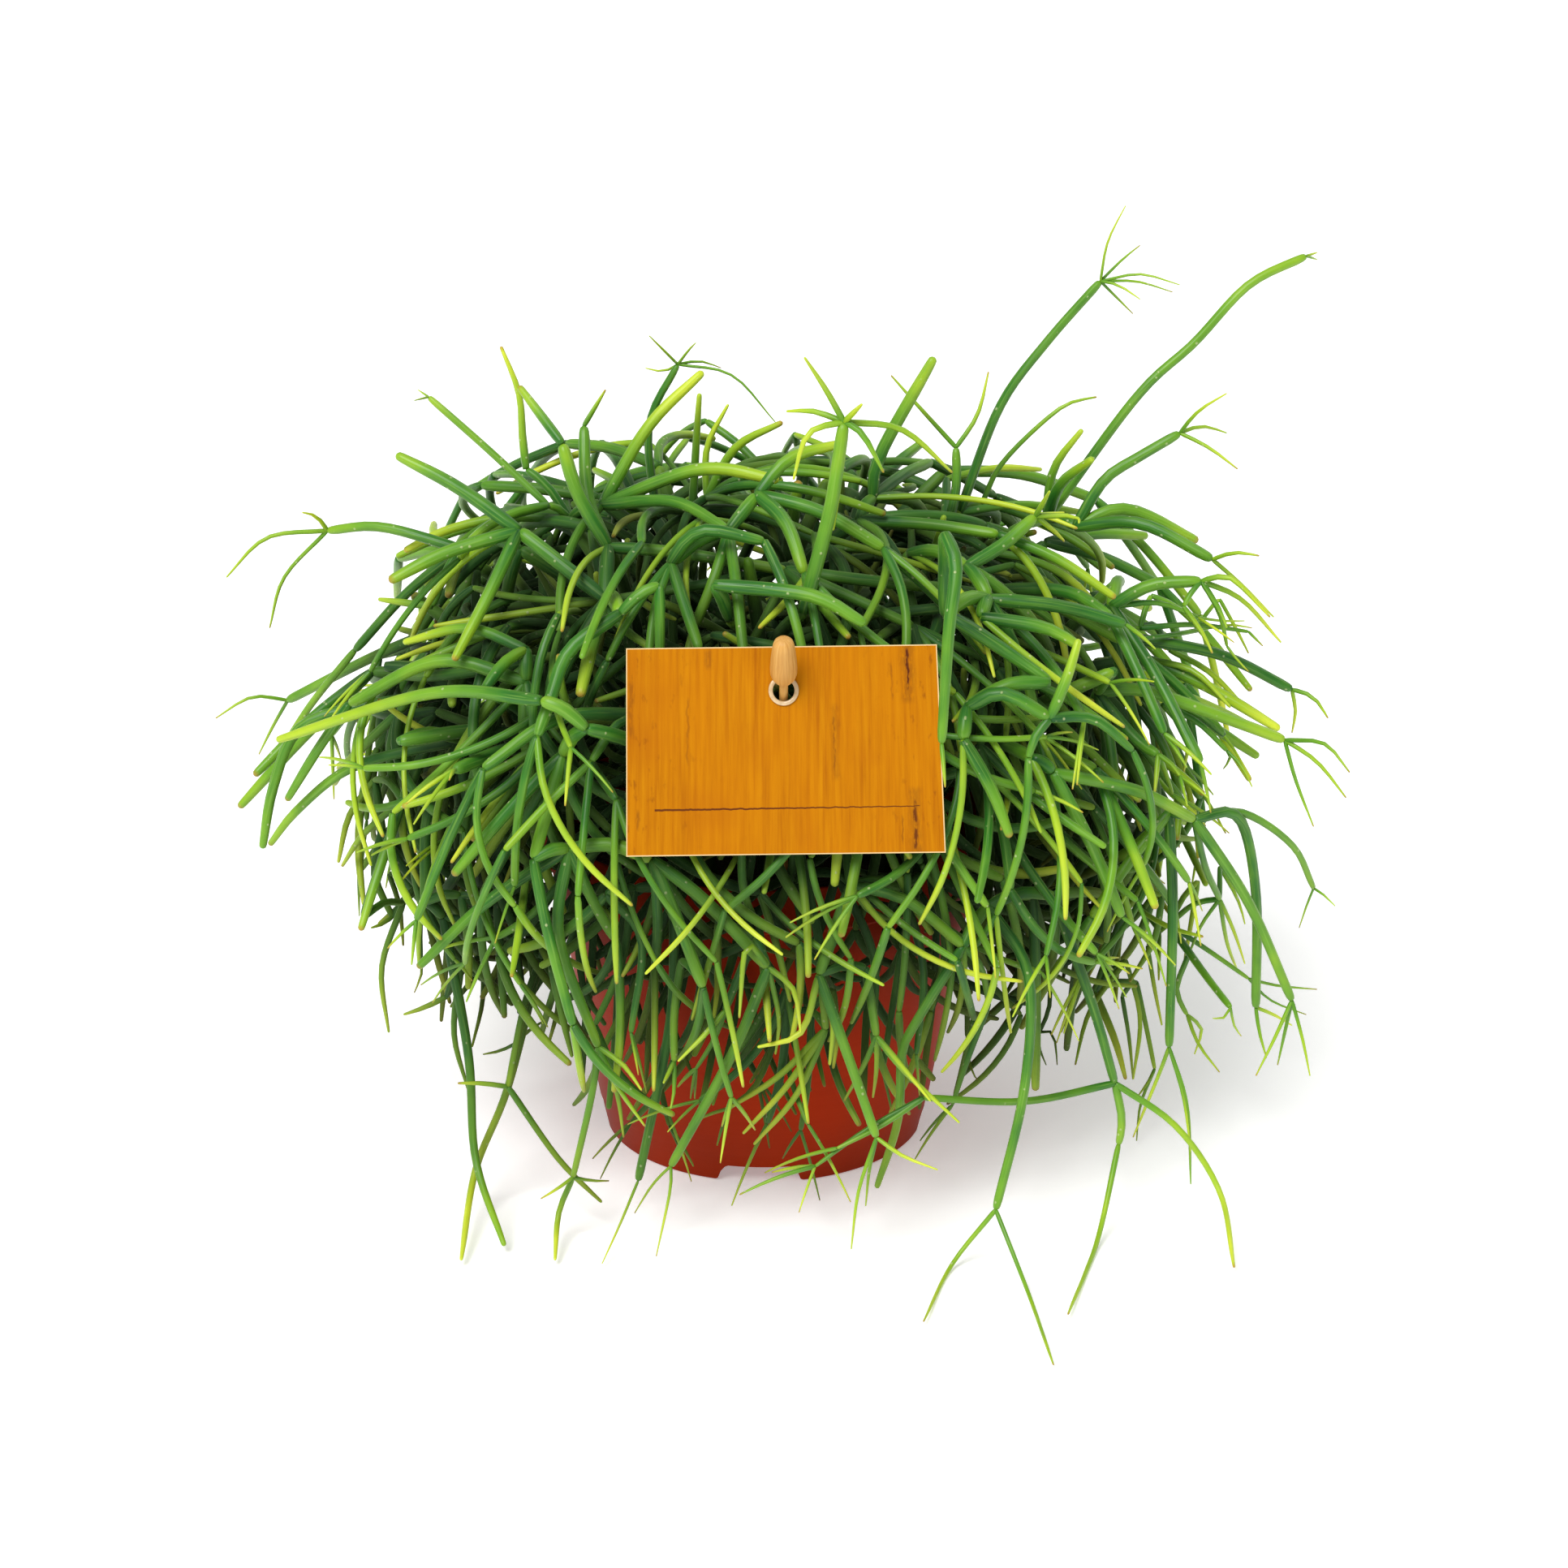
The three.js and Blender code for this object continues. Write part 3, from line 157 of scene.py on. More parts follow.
def mix(a, b, t):
    return add(mul(a, 1 - t), mul(b, t))


def rad(degrees):
    return degrees * math.pi / 180


def within(share):
    return min(1, max(0, share))


def curve(start, knee, end, count):
    """The points of a quadratic curve in `count` spans."""
    points = []
    for i in range(count + 1):
        t = i / count
        points.append(add(add(mul(start, (1 - t) ** 2), mul(knee, 2 * t * (1 - t))), mul(end, t * t)))
    return points


def rows_at(table, x):
    """The rows of a table on both sides of x, and the share of the way from one to the other."""
    i = 1
    while i + 1 < len(table) and table[i][0] < x:
        i += 1
    before, after = table[i - 1], table[i]
    return before, after, (x - before[0]) / (after[0] - before[0])


class Draws:
    """The CAD model's own random numbers, so that the same plant grows."""

    def __init__(self, seed):
        self.state = seed

    def next(self):
        self.state = (1664525 * self.state + 1013904223) % 4294967296
        return self.state / 4294967296

    def between(self, low, high):
        return low + (high - low) * self.next()


draws = Draws(SEED)

# ---------------------------------------------------------------- card and pin frame

LEAN = rad(CARD.lean)
card_up = (0, math.sin(LEAN), math.cos(LEAN))
card_out = (0, -math.cos(LEAN), math.sin(LEAN))
hole = add(CARD_MIDDLE, mul(card_up, CARD.hole_up))
pin_up = (0, -math.sin(rad(PIN.lean)), math.cos(rad(PIN.lean)))


def on_pin(t):
    return add(hole, mul(pin_up, t))


# ---------------------------------------------------------------- the space between stems

MOST_SPANS = 30000
PARALLEL = 1e-9


class Spans:
    """The straight spans of the stems, each with the radius that it keeps clear."""

    def __init__(self):
        self.a, self.b, self.low, self.high = (np.zeros((MOST_SPANS, 3)) for _ in range(4))
        self.r = np.zeros(MOST_SPANS)
        self.stem = np.zeros(MOST_SPANS, int)
        self.count = 0
        self.owners = 0

    def keep(self, a, b, r, stem):
        i = self.count
        self.a[i], self.b[i], self.r[i], self.stem[i] = a, b, r, stem
        self.low[i] = np.minimum(a, b) - r
        self.high[i] = np.maximum(a, b) + r
        self.count += 1

    def distances(self, p, q, near):
        """The least distance from the span p to q to each of the kept spans near it."""
        a, b = self.a[near], self.b[near]
        d1 = np.subtract(q, p)
        d2 = b - a
        away = np.asarray(p) - a
        aa = d1 @ d1
        e = (d2 * d2).sum(1)
        f = (d2 * away).sum(1)
        c = away @ d1
        bb = d2 @ d1
        denominator = aa * e - bb * bb
        safe = np.where(denominator > PARALLEL, denominator, 1)
        s = np.where(denominator > PARALLEL, np.clip((bb * f - c * e) / safe, 0, 1), 0)
        t = (bb * s + f) / e
        s = np.where(t < 0, np.clip(-c / aa, 0, 1), np.where(t > 1, np.clip((bb - c) / aa, 0, 1), s))
        t = np.clip(t, 0, 1)
        gap = (np.asarray(p) + s[:, None] * d1) - (a + t[:, None] * d2)
        return np.sqrt((gap * gap).sum(1))

    def clear(self, points, r, skip, spare=CLEAR):
        n = self.count
        low = np.min(points, axis=0) - r - spare
        high = np.max(points, axis=0) + r + spare
        near = ((self.low[:n] <= high) & (self.high[:n] >= low)).all(axis=1)
        near = np.array([i for i in np.flatnonzero(near) if self.stem[i] not in skip], int)
        if not len(near):
            return True
        least = r + self.r[near] + spare
        return all((self.distances(p, q, near) >= least).all() for p, q in zip(points, points[1:]))


spans = Spans()
stems = []


class Stem:
    def __init__(self, points, radii, cutting, parent, rooted=False):
        self.points = points
        self.radii = radii
        self.cutting = cutting
        self.parent = parent
        self.rooted = rooted
        self.children = []
        self.id = spans.owners
        spans.owners += 1
        stems.append(self)
        for a, b in zip(points, points[1:]):
            spans.keep(a, b, max(radii), self.id)
        if parent:
            parent.children.append(self)

    @property
    def end(self):
        return self.points[-1]

    @property
    def heading(self):
        return unit(sub(self.end, self.points[-2]))

    def family(self):
        """The stems that meet at this one's far joint."""
        return {self.id, *(child.id for child in self.children)}


def outer_at(z):
    return FOOT_RADIUS + POT_TAPER * z


def pot_radius_at(z):
    return RIM_RADIUS if z > POT_HEIGHT - BAND_HEIGHT else outer_at(z) + STEP_OUT


FRONT_TILT = rad(LOOK_DOWN)
EYE = (5.4, -1171, 564)
FRONT_UP = (0, math.sin(FRONT_TILT), math.cos(FRONT_TILT))
FRONT_IN = (0, math.cos(FRONT_TILT), -math.sin(FRONT_TILT))
CARD_MIDDLE_V = 100


def from_front(u, v, y):
    """The point at depth y that is seen at u, v in the front view."""
    drawn = (u, v * FRONT_UP[1], v * FRONT_UP[2])
    t = (y - EYE[1]) / (drawn[1] - EYE[1])
    return add(EYE, mul(sub(drawn, EYE), t))


def to_front(point):
    ray = sub(point, EYE)
    t = -dot(EYE, FRONT_IN) / dot(ray, FRONT_IN)
    drawn = add(EYE, mul(ray, t))
    return drawn[0], dot(drawn, FRONT_UP)


# The height that undrawn stems keep above, against their distance from the pot's axis.
SKIRT = [(60, 34), (72, 24), (90, 26), (102, 48), (118, 66), (140, 82), (160, 96)]
WINDOW = Named(half_width=48, v=28)
DOME = Named(radius=149, front=106, base=75, top=112, power=2.4, narrowing=0)


def skirt_at(out):
    (_, low), (_, high), t = rows_at(SKIRT, out)
    return low + (high - low) * t


def out_in(shape, p):
    """How far out a point is in a dome that is flatter in front."""
    return math.hypot(p[0], p[1] * shape.radius / shape.front if p[1] < 0 else p[1])


def in_dome(shape, p, grown=1.0, raised=1.0):
    out = out_in(shape, p) / (shape.radius * grown)
    rise = p[2] - shape.base
    if rise < 0:
        return out < 1 + shape.narrowing * rise
    return out ** shape.power + (rise / (shape.top * raised)) ** shape.power < 1


def in_bounds(p, r):
    """Whether a point of a stem of radius r is clear of the pot, the surface and the plant's outer box."""
    if abs(p[0]) > REACH - r or abs(p[1]) > REACH - r:
        return False
    if p[2] > TALLEST - r or p[2] < r + GAP:
        return False
    keep = r + AROUND_POT
    return p[2] >= POT_HEIGHT + keep or math.hypot(p[0], p[1]) >= pot_radius_at(p[2]) + keep


BEHIND_CARD = 2


def hides_card(p, u, v, side, top):
    """Whether a point seen at u, v is in front of the card or of its margins."""
    over = abs(u - CARD_MIDDLE[0]) < CARD.width / 2 + side and abs(v - CARD_MIDDLE_V) < CARD.height / 2 + top
    return over and dot(sub(p, CARD_MIDDLE), card_out) > -BEHIND_CARD


def in_crown(p):
    if not in_dome(DOME, p) or p[2] < skirt_at(out_in(DOME, p)):
        return False
    if p[1] > 0:
        return True
    u, v = to_front(p)
    if abs(u) < WINDOW.half_width and v < WINDOW.v:
        return False
    return not hides_card(p, u, v, 5, 4)


# Bars across the card, and the pin's length, keep the stems off them.
CARD_BARS = 13
CARD_KEEP = 2.4
PIN_SPARE = 0.6
PIN_HEAD_KEEP = 3.8
NO_STEM = -1
half_card = (CARD.width / 2, 0, 0)
for i in range(CARD_BARS):
    middle = add(CARD_MIDDLE, mul(card_up, (i / (CARD_BARS - 1) - 0.5) * CARD.height))
    spans.keep(sub(middle, half_card), add(middle, half_card), CARD_KEEP, NO_STEM)
spans.keep(on_pin(-PIN.below), on_pin(0), PIN.shaft + PIN_SPARE, NO_STEM)
spans.keep(on_pin(2), on_pin(PIN.above + 1), PIN_HEAD_KEEP, NO_STEM)

# ---------------------------------------------------------------- rooted bases and growth

# Rings of bases: count, radius, lean, rise to the first joint, first bearing, stem radius.
RINGS = [(10, 38, 30, 52, 0, 2.3), (5, 18, 12, 66, 54, 2.4), (1, 0, 2, 74, 0, 2.4)]
BASE = Named(straight=10, bow=3, thinning=0.2)
bases = []
for count, radius, lean, rise, turn, r in RINGS:
    for i in range(count):
        bearing = rad(turn + 360 * i / count)
        out = (math.cos(bearing), math.sin(bearing), 0)
        direction = add(mul(out, math.sin(rad(lean))), (0, 0, math.cos(rad(lean))))
        foot = add(mul(out, radius), (0, 0, SOIL_TOP))
        points = [
            add(foot, mul(direction, SOIL_DOME - PIT_DEPTH)),
            add(foot, mul(direction, BASE.straight)),
            add(add(foot, mul(direction, rise)), mul(out, BASE.bow)),
        ]
        bases.append(Stem(points, [r, r - BASE.thinning], len(bases), None, rooted=True))

# The middle of the ring that the stems flow round: its distance from the axis and its height.
EDDY = Named(radius=72, height=98)


def round_eddy(p, out):
    """How much a way round the eddy goes outwards and down, at a point that is `out` from the axis."""
    dr, dz = out - EDDY.radius, p[2] - EDDY.height
    size = math.hypot(dr, dz) or 1
    return dz / size, dr / size


def from_axis(p, outwards, down):
    across = math.hypot(p[0], p[1]) or 1
    return (p[0] / across * outwards, p[1] / across * outwards, -down)


def flow(p):
    """Where a stem tends to grow: up inside the clump, outwards over its top and down on its outside."""
    return from_axis(p, *round_eddy(p, math.hypot(p[0], p[1]) or 1))


def around_axis(axis, angle, turn):
    aside = (0, 0, 1) if abs(axis[2]) < 0.9 else (1, 0, 0)
    across = unit(cross(axis, aside))
    up = cross(axis, across)
    ring = add(mul(across, math.cos(turn)), mul(up, math.sin(turn)))
    return add(mul(axis, math.cos(angle)), mul(ring, math.sin(angle)))


def arch(start, direction, length, sag):
    """An arching line that sags towards the ground."""
    middle = add(start, mul(direction, length * 0.5))
    return curve(start, middle, add(add(start, mul(direction, length)), (0, 0, -length * sag)), 2)


def leaving(points):
    return unit(sub(points[1], points[0]))


GROWTH = Named(sag=(0.05, 0.28), most_alike=0.9, most_back=-0.35, drift=0.45)


def try_stem(parent, direction, length, radii):
    points = arch(parent.end, direction, length, draws.between(*GROWTH.sag))
    for before, point in zip(points, points[1:]):
        for p in (point, mix(before, point, 0.5)):
            if not in_bounds(p, radii[0]) or not in_crown(p):
                return False
    if not spans.clear(points, radii[0], parent.family()):
        return False
    way = leaving(points)
    if any(dot(way, leaving(sibling.points)) > GROWTH.most_alike for sibling in parent.children):
        return False
    if dot(way, parent.heading) < GROWTH.most_back:
        return False
    Stem(points, radii, parent.cutting, parent)
    return True


def grow(parent, tries, lengths, spread, radii):
    """Tries to grow a stem from its parent's end: a turn off the parent's line, drawn towards the flow."""
    drift = GROWTH.drift
    for _ in range(tries):
        angle = rad(draws.between(*spread))
        cone = around_axis(parent.heading, angle, draws.between(0, 2 * math.pi))
        direction = unit(add(mul(cone, 1 - drift), mul(flow(parent.end), drift)))
        if try_stem(parent, direction, draws.between(*lengths), radii):
            return


# ---------------------------------------------------------------- drawn shoots

# The shoots that give the plant its outline and its face, drawn in the front view: a line through u, v points,
# the depths at its two ends and the radii there, then the radius of its young tips and each tip's u, v points.
SHOOTS = [
    # Crown, from left to right.
    ((-44, 142, -68, 161), -42, -30, 2.3, 2.2),
    ((-68, 161, -85, 173, -102, 182), -30, -18, 2.2, 1.8),
    ((-68, 161, -88, 155, -104, 147), -30, -40, 2.1, 1.9),
    ((-68, 161, -76, 144, -86, 125), -30, -56, 2.1, 1.6),
    ((-43, 153, -52, 172, -56, 185), -40, -20, 2.3, 2),
    ((-45, 154, -49, 170, -50, 190), -26, -6, 2.2, 1.7, 0.9, (-44, 200)),
    ((-66, 178, -67, 187, -68, 199, -73, 212), 4, 10, 1.4, 0.7),
    ((-56, 185, -68, 201), -20, -8, 1.6, 1.3),
    ((-60, 168, -76, 183, -93, 198), 0, 14, 1.2, 1.1, 0.4, (-97, 197), (-96, 200)),
    ((-30, 165, -32, 190, -24, 207), 18, 24, 1.4, 1.1, 0.5, (-28, 211, -32, 215), (-28, 205, -33, 206),
     (-21, 211, -19, 213), (-18, 208, -12, 206), (-9, 204, 3, 191)),
    ((-45, 168, -32, 190, -17, 205), -8, 2, 2, 1.6),
    ((-20, 166, -19, 184, -18, 199), 10, 10, 1.4, 1),
    ((-16, 170, -16, 184, -10, 196), 2, 4, 1.2, 0.8),
    ((-20, 172, -8, 184, 5, 191), -6, -4, 1.6, 1.1),
    ((-46, 172, -18, 178, 4, 175), -18, -24, 2.1, 1.9),
    ((-42, 164, -25, 169, -10, 161), -28, -38, 2, 1.7),
    ((-12, 160, -2, 171), -34, -32, 2.1, 2),
    ((-2, 171, 6, 163, 11, 149), -32, -52, 2.3, 1.8),
    ((-2, 171, 7, 181, 21, 185), -32, -22, 2, 1.7),
    ((-2, 171, 16, 166, 33, 156), -32, -42, 2.1, 1.9),
    ((-26, 152, -18, 161, 0, 158), -46, -50, 2.2, 1.6),
    ((-42, 152, -25, 155, 6, 150), -48, -54, 1.9, 1.6),
    ((11, 143, 18, 166, 22, 191), -40, -34, 2.3, 1.9, 1.1, (17, 200, 11, 209), (14, 194, 6, 194), (12, 188, 8, 175),
     (21, 178, 19, 161), (27, 188, 33, 177), (38, 189, 52, 177), (25, 194, 27, 196)),
    ((30, 170, 32, 182, 47, 209), -4, -2, 2, 1.8),
    ((50, 160, 53, 172, 53, 184), -2, 4, 1.6, 1.3, 0.8, (43, 195, 35, 204), (59, 193, 62, 205)),
    ((54, 166, 65, 195, 78, 213, 93, 230), 4, 14, 1.5, 1.3, 0.5, (95, 241, 100, 251), (99, 236, 104, 240),
     (104, 232, 115, 229), (103, 230, 113, 227), (98, 229, 104, 225), (97, 226, 102, 221)),
    ((60, 168, 66, 180, 82, 195, 92, 198), 10, 16, 1, 0.6),
    ((78, 164, 103, 198, 119, 213, 134, 229, 150, 237), 8, 26, 1.6, 1.4, 0.5, (153, 238), (153, 236)),
    ((76, 166, 80, 178, 88, 189), 0, 6, 1.6, 1.1),
    ((76, 160, 82, 174, 91, 181), -10, -6, 2, 1.4),
    ((86, 162, 94, 175, 103, 181, 115, 188), -4, 2, 1.8, 1.5, 0.7, (120, 194, 128, 199), (121, 190, 128, 188),
     (123, 184, 131, 178)),
    ((56, 151, 66, 157, 75, 165), -38, -28, 2.1, 1.9, 1, (79, 172), (83, 166), (86, 165, 87, 163),
     (80, 161, 83, 158)),
    # Right side.
    ((86, 158, 100, 167, 120, 158), -2, 0, 2, 1.8),
    ((84, 158, 104, 163, 124, 153), -16, -18, 2, 1.7, 0.8, (130, 155, 137, 154), (132, 146, 141, 137)),
    ((96, 140, 107, 146, 121, 147), -26, -28, 2, 1.8, 1, (129, 148, 140, 137), (132, 142, 143, 130),
     (126, 139, 128, 134)),
    ((64, 147, 84, 144, 96, 137), -40, -40, 2.2, 1.8),
    ((62, 142, 82, 140, 100, 135), -48, -48, 2.2, 1.8),
    ((50, 138, 60, 132, 72, 124, 79, 119), -62, -70, 2.2, 1.8),
    ((60, 137, 78, 134, 87, 129), -58, -62, 2.2, 1.8),
    ((96, 132, 125, 127, 146, 117), -18, -12, 1.9, 1.6, 0.8, (152, 115, 156, 109), (147, 111, 146, 105)),
    ((92, 116, 104, 117, 125, 110, 144, 103), -42, -36, 2.1, 1.7, 0.8, (155, 102, 162, 94), (153, 97, 161, 87),
     (147, 92, 152, 79)),
    ((92, 116, 103, 103, 109, 99), -42, -50, 1.9, 1.7, 1, (108, 88), (111, 94, 113, 88), (113, 96, 115, 93)),
    ((56, 112, 66, 116, 79, 109), -74, -76, 2.2, 1.9),
    ((79, 109, 84, 121, 87, 131), -76, -70, 1.8, 1.4),
    ((79, 109, 75, 104, 73, 98), -76, -80, 1.6, 1.1),
    ((79, 109, 91, 109, 102, 100), -76, -70, 1.8, 1.2),
    ((55, 103, 63, 89, 68, 76), -80, -86, 2.2, 1.7),
    ((80, 94, 91, 73, 99, 54), -72, -74, 2.1, 1.7),
    ((82, 93, 103, 89, 119, 81), -62, -50, 2, 1.8),
    ((119, 81, 134, 58, 146, 31), -50, -44, 2, 1.6, 0.8, (149, 20, 151, 10), (144, 22, 142, 13),
     (141, 20, 136, 10)),
    ((119, 81, 131, 82, 136, 61, 136, 29), -50, -34, 1.9, 1.7, 0.8, (137, 22, 139, 15), (141, 27, 146, 24)),
    ((119, 81, 132, 83, 146, 74, 152, 62), -50, -28, 1.4, 1.1, 0.5, (155, 60, 158, 57), (150, 57, 148, 51)),
    ((112, 83, 113, 56, 112, 18), -56, -58, 2, 1.6, 0.8, (116, 4, 118, -11), (109, 10, 102, -7),
     (117, 2, 118, -20)),
    # The stem that hangs over the card's right edge.
    ((50, 160, 53, 151, 51, 133, 49, 102), -76, -96, 2.2, 1.4),
    # Left side.
    ((-84, 156, -106, 162, -121, 161), -4, 8, 1.7, 1.4, 0.8, (-138, 159, -149, 148), (-133, 148, -137, 134),
     (-124, 165, -128, 166)),
    ((-72, 140, -104, 128, -132, 114), -14, 28, 2, 1.6, 0.7, (-142, 115, -152, 109), (-136, 107, -140, 99)),
    ((-92, 140, -107, 142), -14, -8, 1.3, 1.1),
    ((-66, 128, -82, 134, -100, 130), -52, -38, 1.8, 1.3),
    ((-66, 119, -90, 125, -115, 113), -60, -46, 2.2, 1.8),
    ((-62, 114, -92, 116, -135, 103), -64, -24, 2.1, 1.5),
    ((-86, 116, -113, 112, -129, 106, -136, 90, -139, 73), -20, -22, 2.1, 1.7),
    ((-84, 103, -113, 96, -129, 84, -137, 74), -42, -30, 1.8, 1.4),
    ((-56, 99, -68, 85, -81, 65), -74, -62, 2.1, 1.6),
    ((-56, 99, -60, 84, -64, 70), -74, -84, 2.1, 1.9),
    ((-86, 101, -93, 83, -94, 58), -50, -54, 2.2, 1.8),
    ((-40, 138, -54, 128, -59, 115, -63, 104), -66, -84, 2.2, 1.8),
    ((-33, 110, -57, 109, -78, 95), -62, -80, 2.1, 1.7),
    ((-33, 110, -41, 107, -48, 97), -62, -88, 1.7, 1.3),
    ((-29, 146, -29, 126), -60, -66, 1.7, 1.5),
    ((-25, 148, -18, 128), -58, -66, 1.9, 1.6),
    ((-14, 146, 13, 143, 28, 135), -58, -66, 2.1, 2),
    # Hanging in front of the pot.
    ((-54, 73, -77, 58, -96, 40), -80, -74, 2.1, 1.7),
    ((-54, 73, -57, 49, -46, 18), -80, -84, 2.2, 1.6, 1.1, (-40, 6, -33, -4), (-41, 6, -39, -7), (-39, 13, -34, 6)),
    ((-60, 72, -60, 50, -53, 24), -74, -72, 2, 1.7),
    ((-31, 70, -16, 58, 1, 40), -84, -90, 2.2, 1.9, 1.1, (8, 34, 10, 22), (4, 26, 3, 16), (-5, 46, -7, 26)),
    ((24, 63, 15, 38), -82, -88, 2.1, 1.9),
    ((15, 38, 24, 13, 31, -7), -88, -92, 1.9, 1.6, 0.8, (26, -22, 24, -38), (29, -16, 28, -26), (38, -12, 48, -16)),
    ((15, 38, 10, 22, -2, 18), -88, -94, 1.3, 0.9),
    ((15, 38, 19, 26, 18, 13), -88, -86, 1.3, 0.9),
    ((4, 40, -9, 16, -26, -15), -78, -86, 1.9, 1.5, 0.6, (-26, -21, -30, -40), (-31, -20, -36, -28)),
    ((-25, 60, -26, 26, -35, -19), -76, -80, 1.8, 1.5, 0.6, (-40, -31, -45, -42)),
    ((55, 46, 42, 25, 38, 16, 37, -2, 31, -21), -82, -80, 1.8, 1.3),
    # Trailing on the right.
    ((62, 57, 73, 38, 72, 7, 64, -27), -74, -90, 2, 1.5, 0.9, (52, -42, 44, -58), (73, -50, 80, -70)),
    ((74, 60, 75, 40, 75, 6), -64, -60, 2, 1.8),
    ((80, 60, 91, 29, 97, 8), -66, -62, 2, 1.6),
    ((97, 8, 99, -2, 98, -9), -62, -62, 1.5, 1.4, 1.1, (92, -36, 84, -56)),
    ((97, 8, 72, 3, 44, 4), -62, -84, 1.4, 1.3, 1.1, (28, -5, 14, -15), (32, -4, 20, -10)),
    ((97, 8, 114, -4, 126, -22, 130, -43), -62, -70, 1.3, 0.9),
    # Trailing on the left.
    ((-89, 54, -82, 16, -80, -13, -72, -37), -50, -72, 1.9, 1.2),
    ((-62, 43, -71, 7, -80, -16, -84, -41), -58, -66, 1.5, 1.1),
    ((-71, 7, -57, -13, -45, -25), -58, -66, 1.2, 1),
    ((-46, 18, -48, 4, -53, -18), -84, -78, 1.3, 1.1, 0.7, (-57, -21, -62, -24), (-48, -19, -43, -19)),
    ((-53, -18, -57, -28, -58, -41), -78, -76, 1.1, 1),
]
NUDGES = [0, -4, 4, -8, 8, -12, 12, -16, 16, -20, 20, -26, 26]
TIP_NUDGES = [6, -6, 12, -12, 0, 18, -18, 24]
LIFTS = [0.12, 0.25, 0, 0.4, -0.12]
TIP_THINNING = 0.6
SNAP = 5  # a drawn start this close to a joint in the front view is that joint
SNAP_DEPTH = 28
# The joints that an unseen stem may start at.
HOST = Named(children=7, thickness=0.75, nearest=6, farthest=62)


def drawn_point(u, v, y, r):
    """A drawn point, or the point on the ground in front of it where it would lie below the ground."""
    point = from_front(u, v, y)
    least = r + 2 * GAP
    if point[2] < least:
        point = mix(EYE, point, (EYE[2] - least) / (EYE[2] - point[2]))
    return point


def drawn_line(line, start, end, r, first=None):
    """The points of a drawn line between two depths, from the joint `first` if it is given."""
    count = len(line) // 2 - 1
    points = []
    for i in range(count + 1):
        y = start * (1 - i / count) + end * (i / count)
        points.append(first if i == 0 and first else drawn_point(line[2 * i], line[2 * i + 1], y, r))
    return points


def fits(points, r, skip):
    for before, point in zip(points, points[1:]):
        if not in_bounds(point, r) or not in_bounds(mix(point, before, 0.5), r):
            return False
    return spans.clear(points, r, skip)


def link(host, start, r):
    """A straight or slightly arched unseen stem from a joint to a drawn start."""
    span = length_of(sub(start, host.end))
    for lift in LIFTS:
        points = [host.end, add(mix(host.end, start, 0.5), (0, 0, span * lift)), start]
        if fits(points, r, host.family()):
            return points
    return None


def add_tips(stem, r, tips):
    for i, tip in enumerate(tips):
        start = stem.end
        for nudge in TIP_NUDGES:
            # Written out as in the CAD model, so that it rounds the same.
            aside = start[1] + (nudge if i % 2 else -nudge) - start[1]
            points = [start]
            for k in range(0, len(tip), 2):
                points.append(drawn_point(tip[k], tip[k + 1], start[1] + aside * (k + 2) / len(tip), r))
            if fits(points, r, stem.family()):
                Stem(points, [r, r * TIP_THINNING], stem.cutting, stem)
                break


def lay_shoot(line, start, end, r0, r1, tip_r=0, *tips):
    """Lays a drawn shoot from the joint it starts at, or else from the nearest joint that an unseen stem reaches."""
    r = max(r0, r1)
    near = []
    for stem in stems:
        u, v = to_front(stem.end)
        snaps = math.hypot(u - line[0], v - line[1]) < SNAP and abs(stem.end[1] - start) < SNAP_DEPTH
        if snaps and not stem.rooted:
            near.append(stem)
    for nudge in NUDGES:
        for host in near:
            points = drawn_line(line, host.end[1], end + nudge, r, host.end)
            if fits(points, r, host.family()):
                return add_tips(Stem(points, [r0, r1], host.cutting, host), tip_r, tips)
    for nudge in NUDGES:
        points = drawn_line(line, start + nudge, end + nudge, r)
        if not in_bounds(points[0], r) or not fits(points, r, ()):
            continue
        hosts = []
        for stem in stems:
            far = length_of(sub(stem.end, points[0]))
            open_joint = len(stem.children) < HOST.children and min(stem.radii) > r * HOST.thickness
            if open_joint and HOST.nearest < far < HOST.farthest:
                hosts.append((far, stem.id, stem))
        for _, _, host in sorted(hosts):
            path = link(host, points[0], r)
            if path:
                unseen = Stem(path, [r, r], host.cutting, host)
                return add_tips(Stem(points, [r0, r1], host.cutting, unseen), tip_r, tips)


# The first forks of every cutting, then the drawn shoots, then the rest of the CAD's crown.
FIRST = Named(rounds=3, tries=30, lengths=(34, 46), spread=(20, 50), radii=[2.2, 2.0])
LATER = Named(rounds=45, tries=14, lengths=(30, 52), spread=(12, 60), forks=3, most=400)
THINNING = Named(at_fork=0.08, along=0.2, least_start=1.3, least_end=1.2, least_host=1.25)
for _ in range(FIRST.rounds):
    for base in bases:
        grow(base, FIRST.tries, FIRST.lengths, FIRST.spread, list(FIRST.radii))
for shoot in SHOOTS:
    lay_shoot(*shoot)
drawn_count = len(stems)


def may_fork(stem, cutting):
    return stem.cutting == cutting and len(stem.children) < LATER.forks and stem.radii[1] > THINNING.least_host


for _ in range(LATER.rounds):
    for base in bases:
        open_ends = [stem for stem in stems if may_fork(stem, base.cutting)]
        if not open_ends or len(stems) >= LATER.most:
            continue
        host = open_ends[math.floor(draws.next() * len(open_ends))]
        thick = max(THINNING.least_start, host.radii[1] - THINNING.at_fork)
        radii = [thick, max(THINNING.least_end, thick - THINNING.along)]
        grow(host, LATER.tries, LATER.lengths, LATER.spread, radii)

# Stems that grew into the bare upper left of the front view, past the drawn ones, are taken off again.
BARE = Named(left=-105, low=104)


def astray(stem):
    u, v = to_front(stem.end)
    return stem.id >= drawn_count and not stem.children and u < BARE.left and v > BARE.low


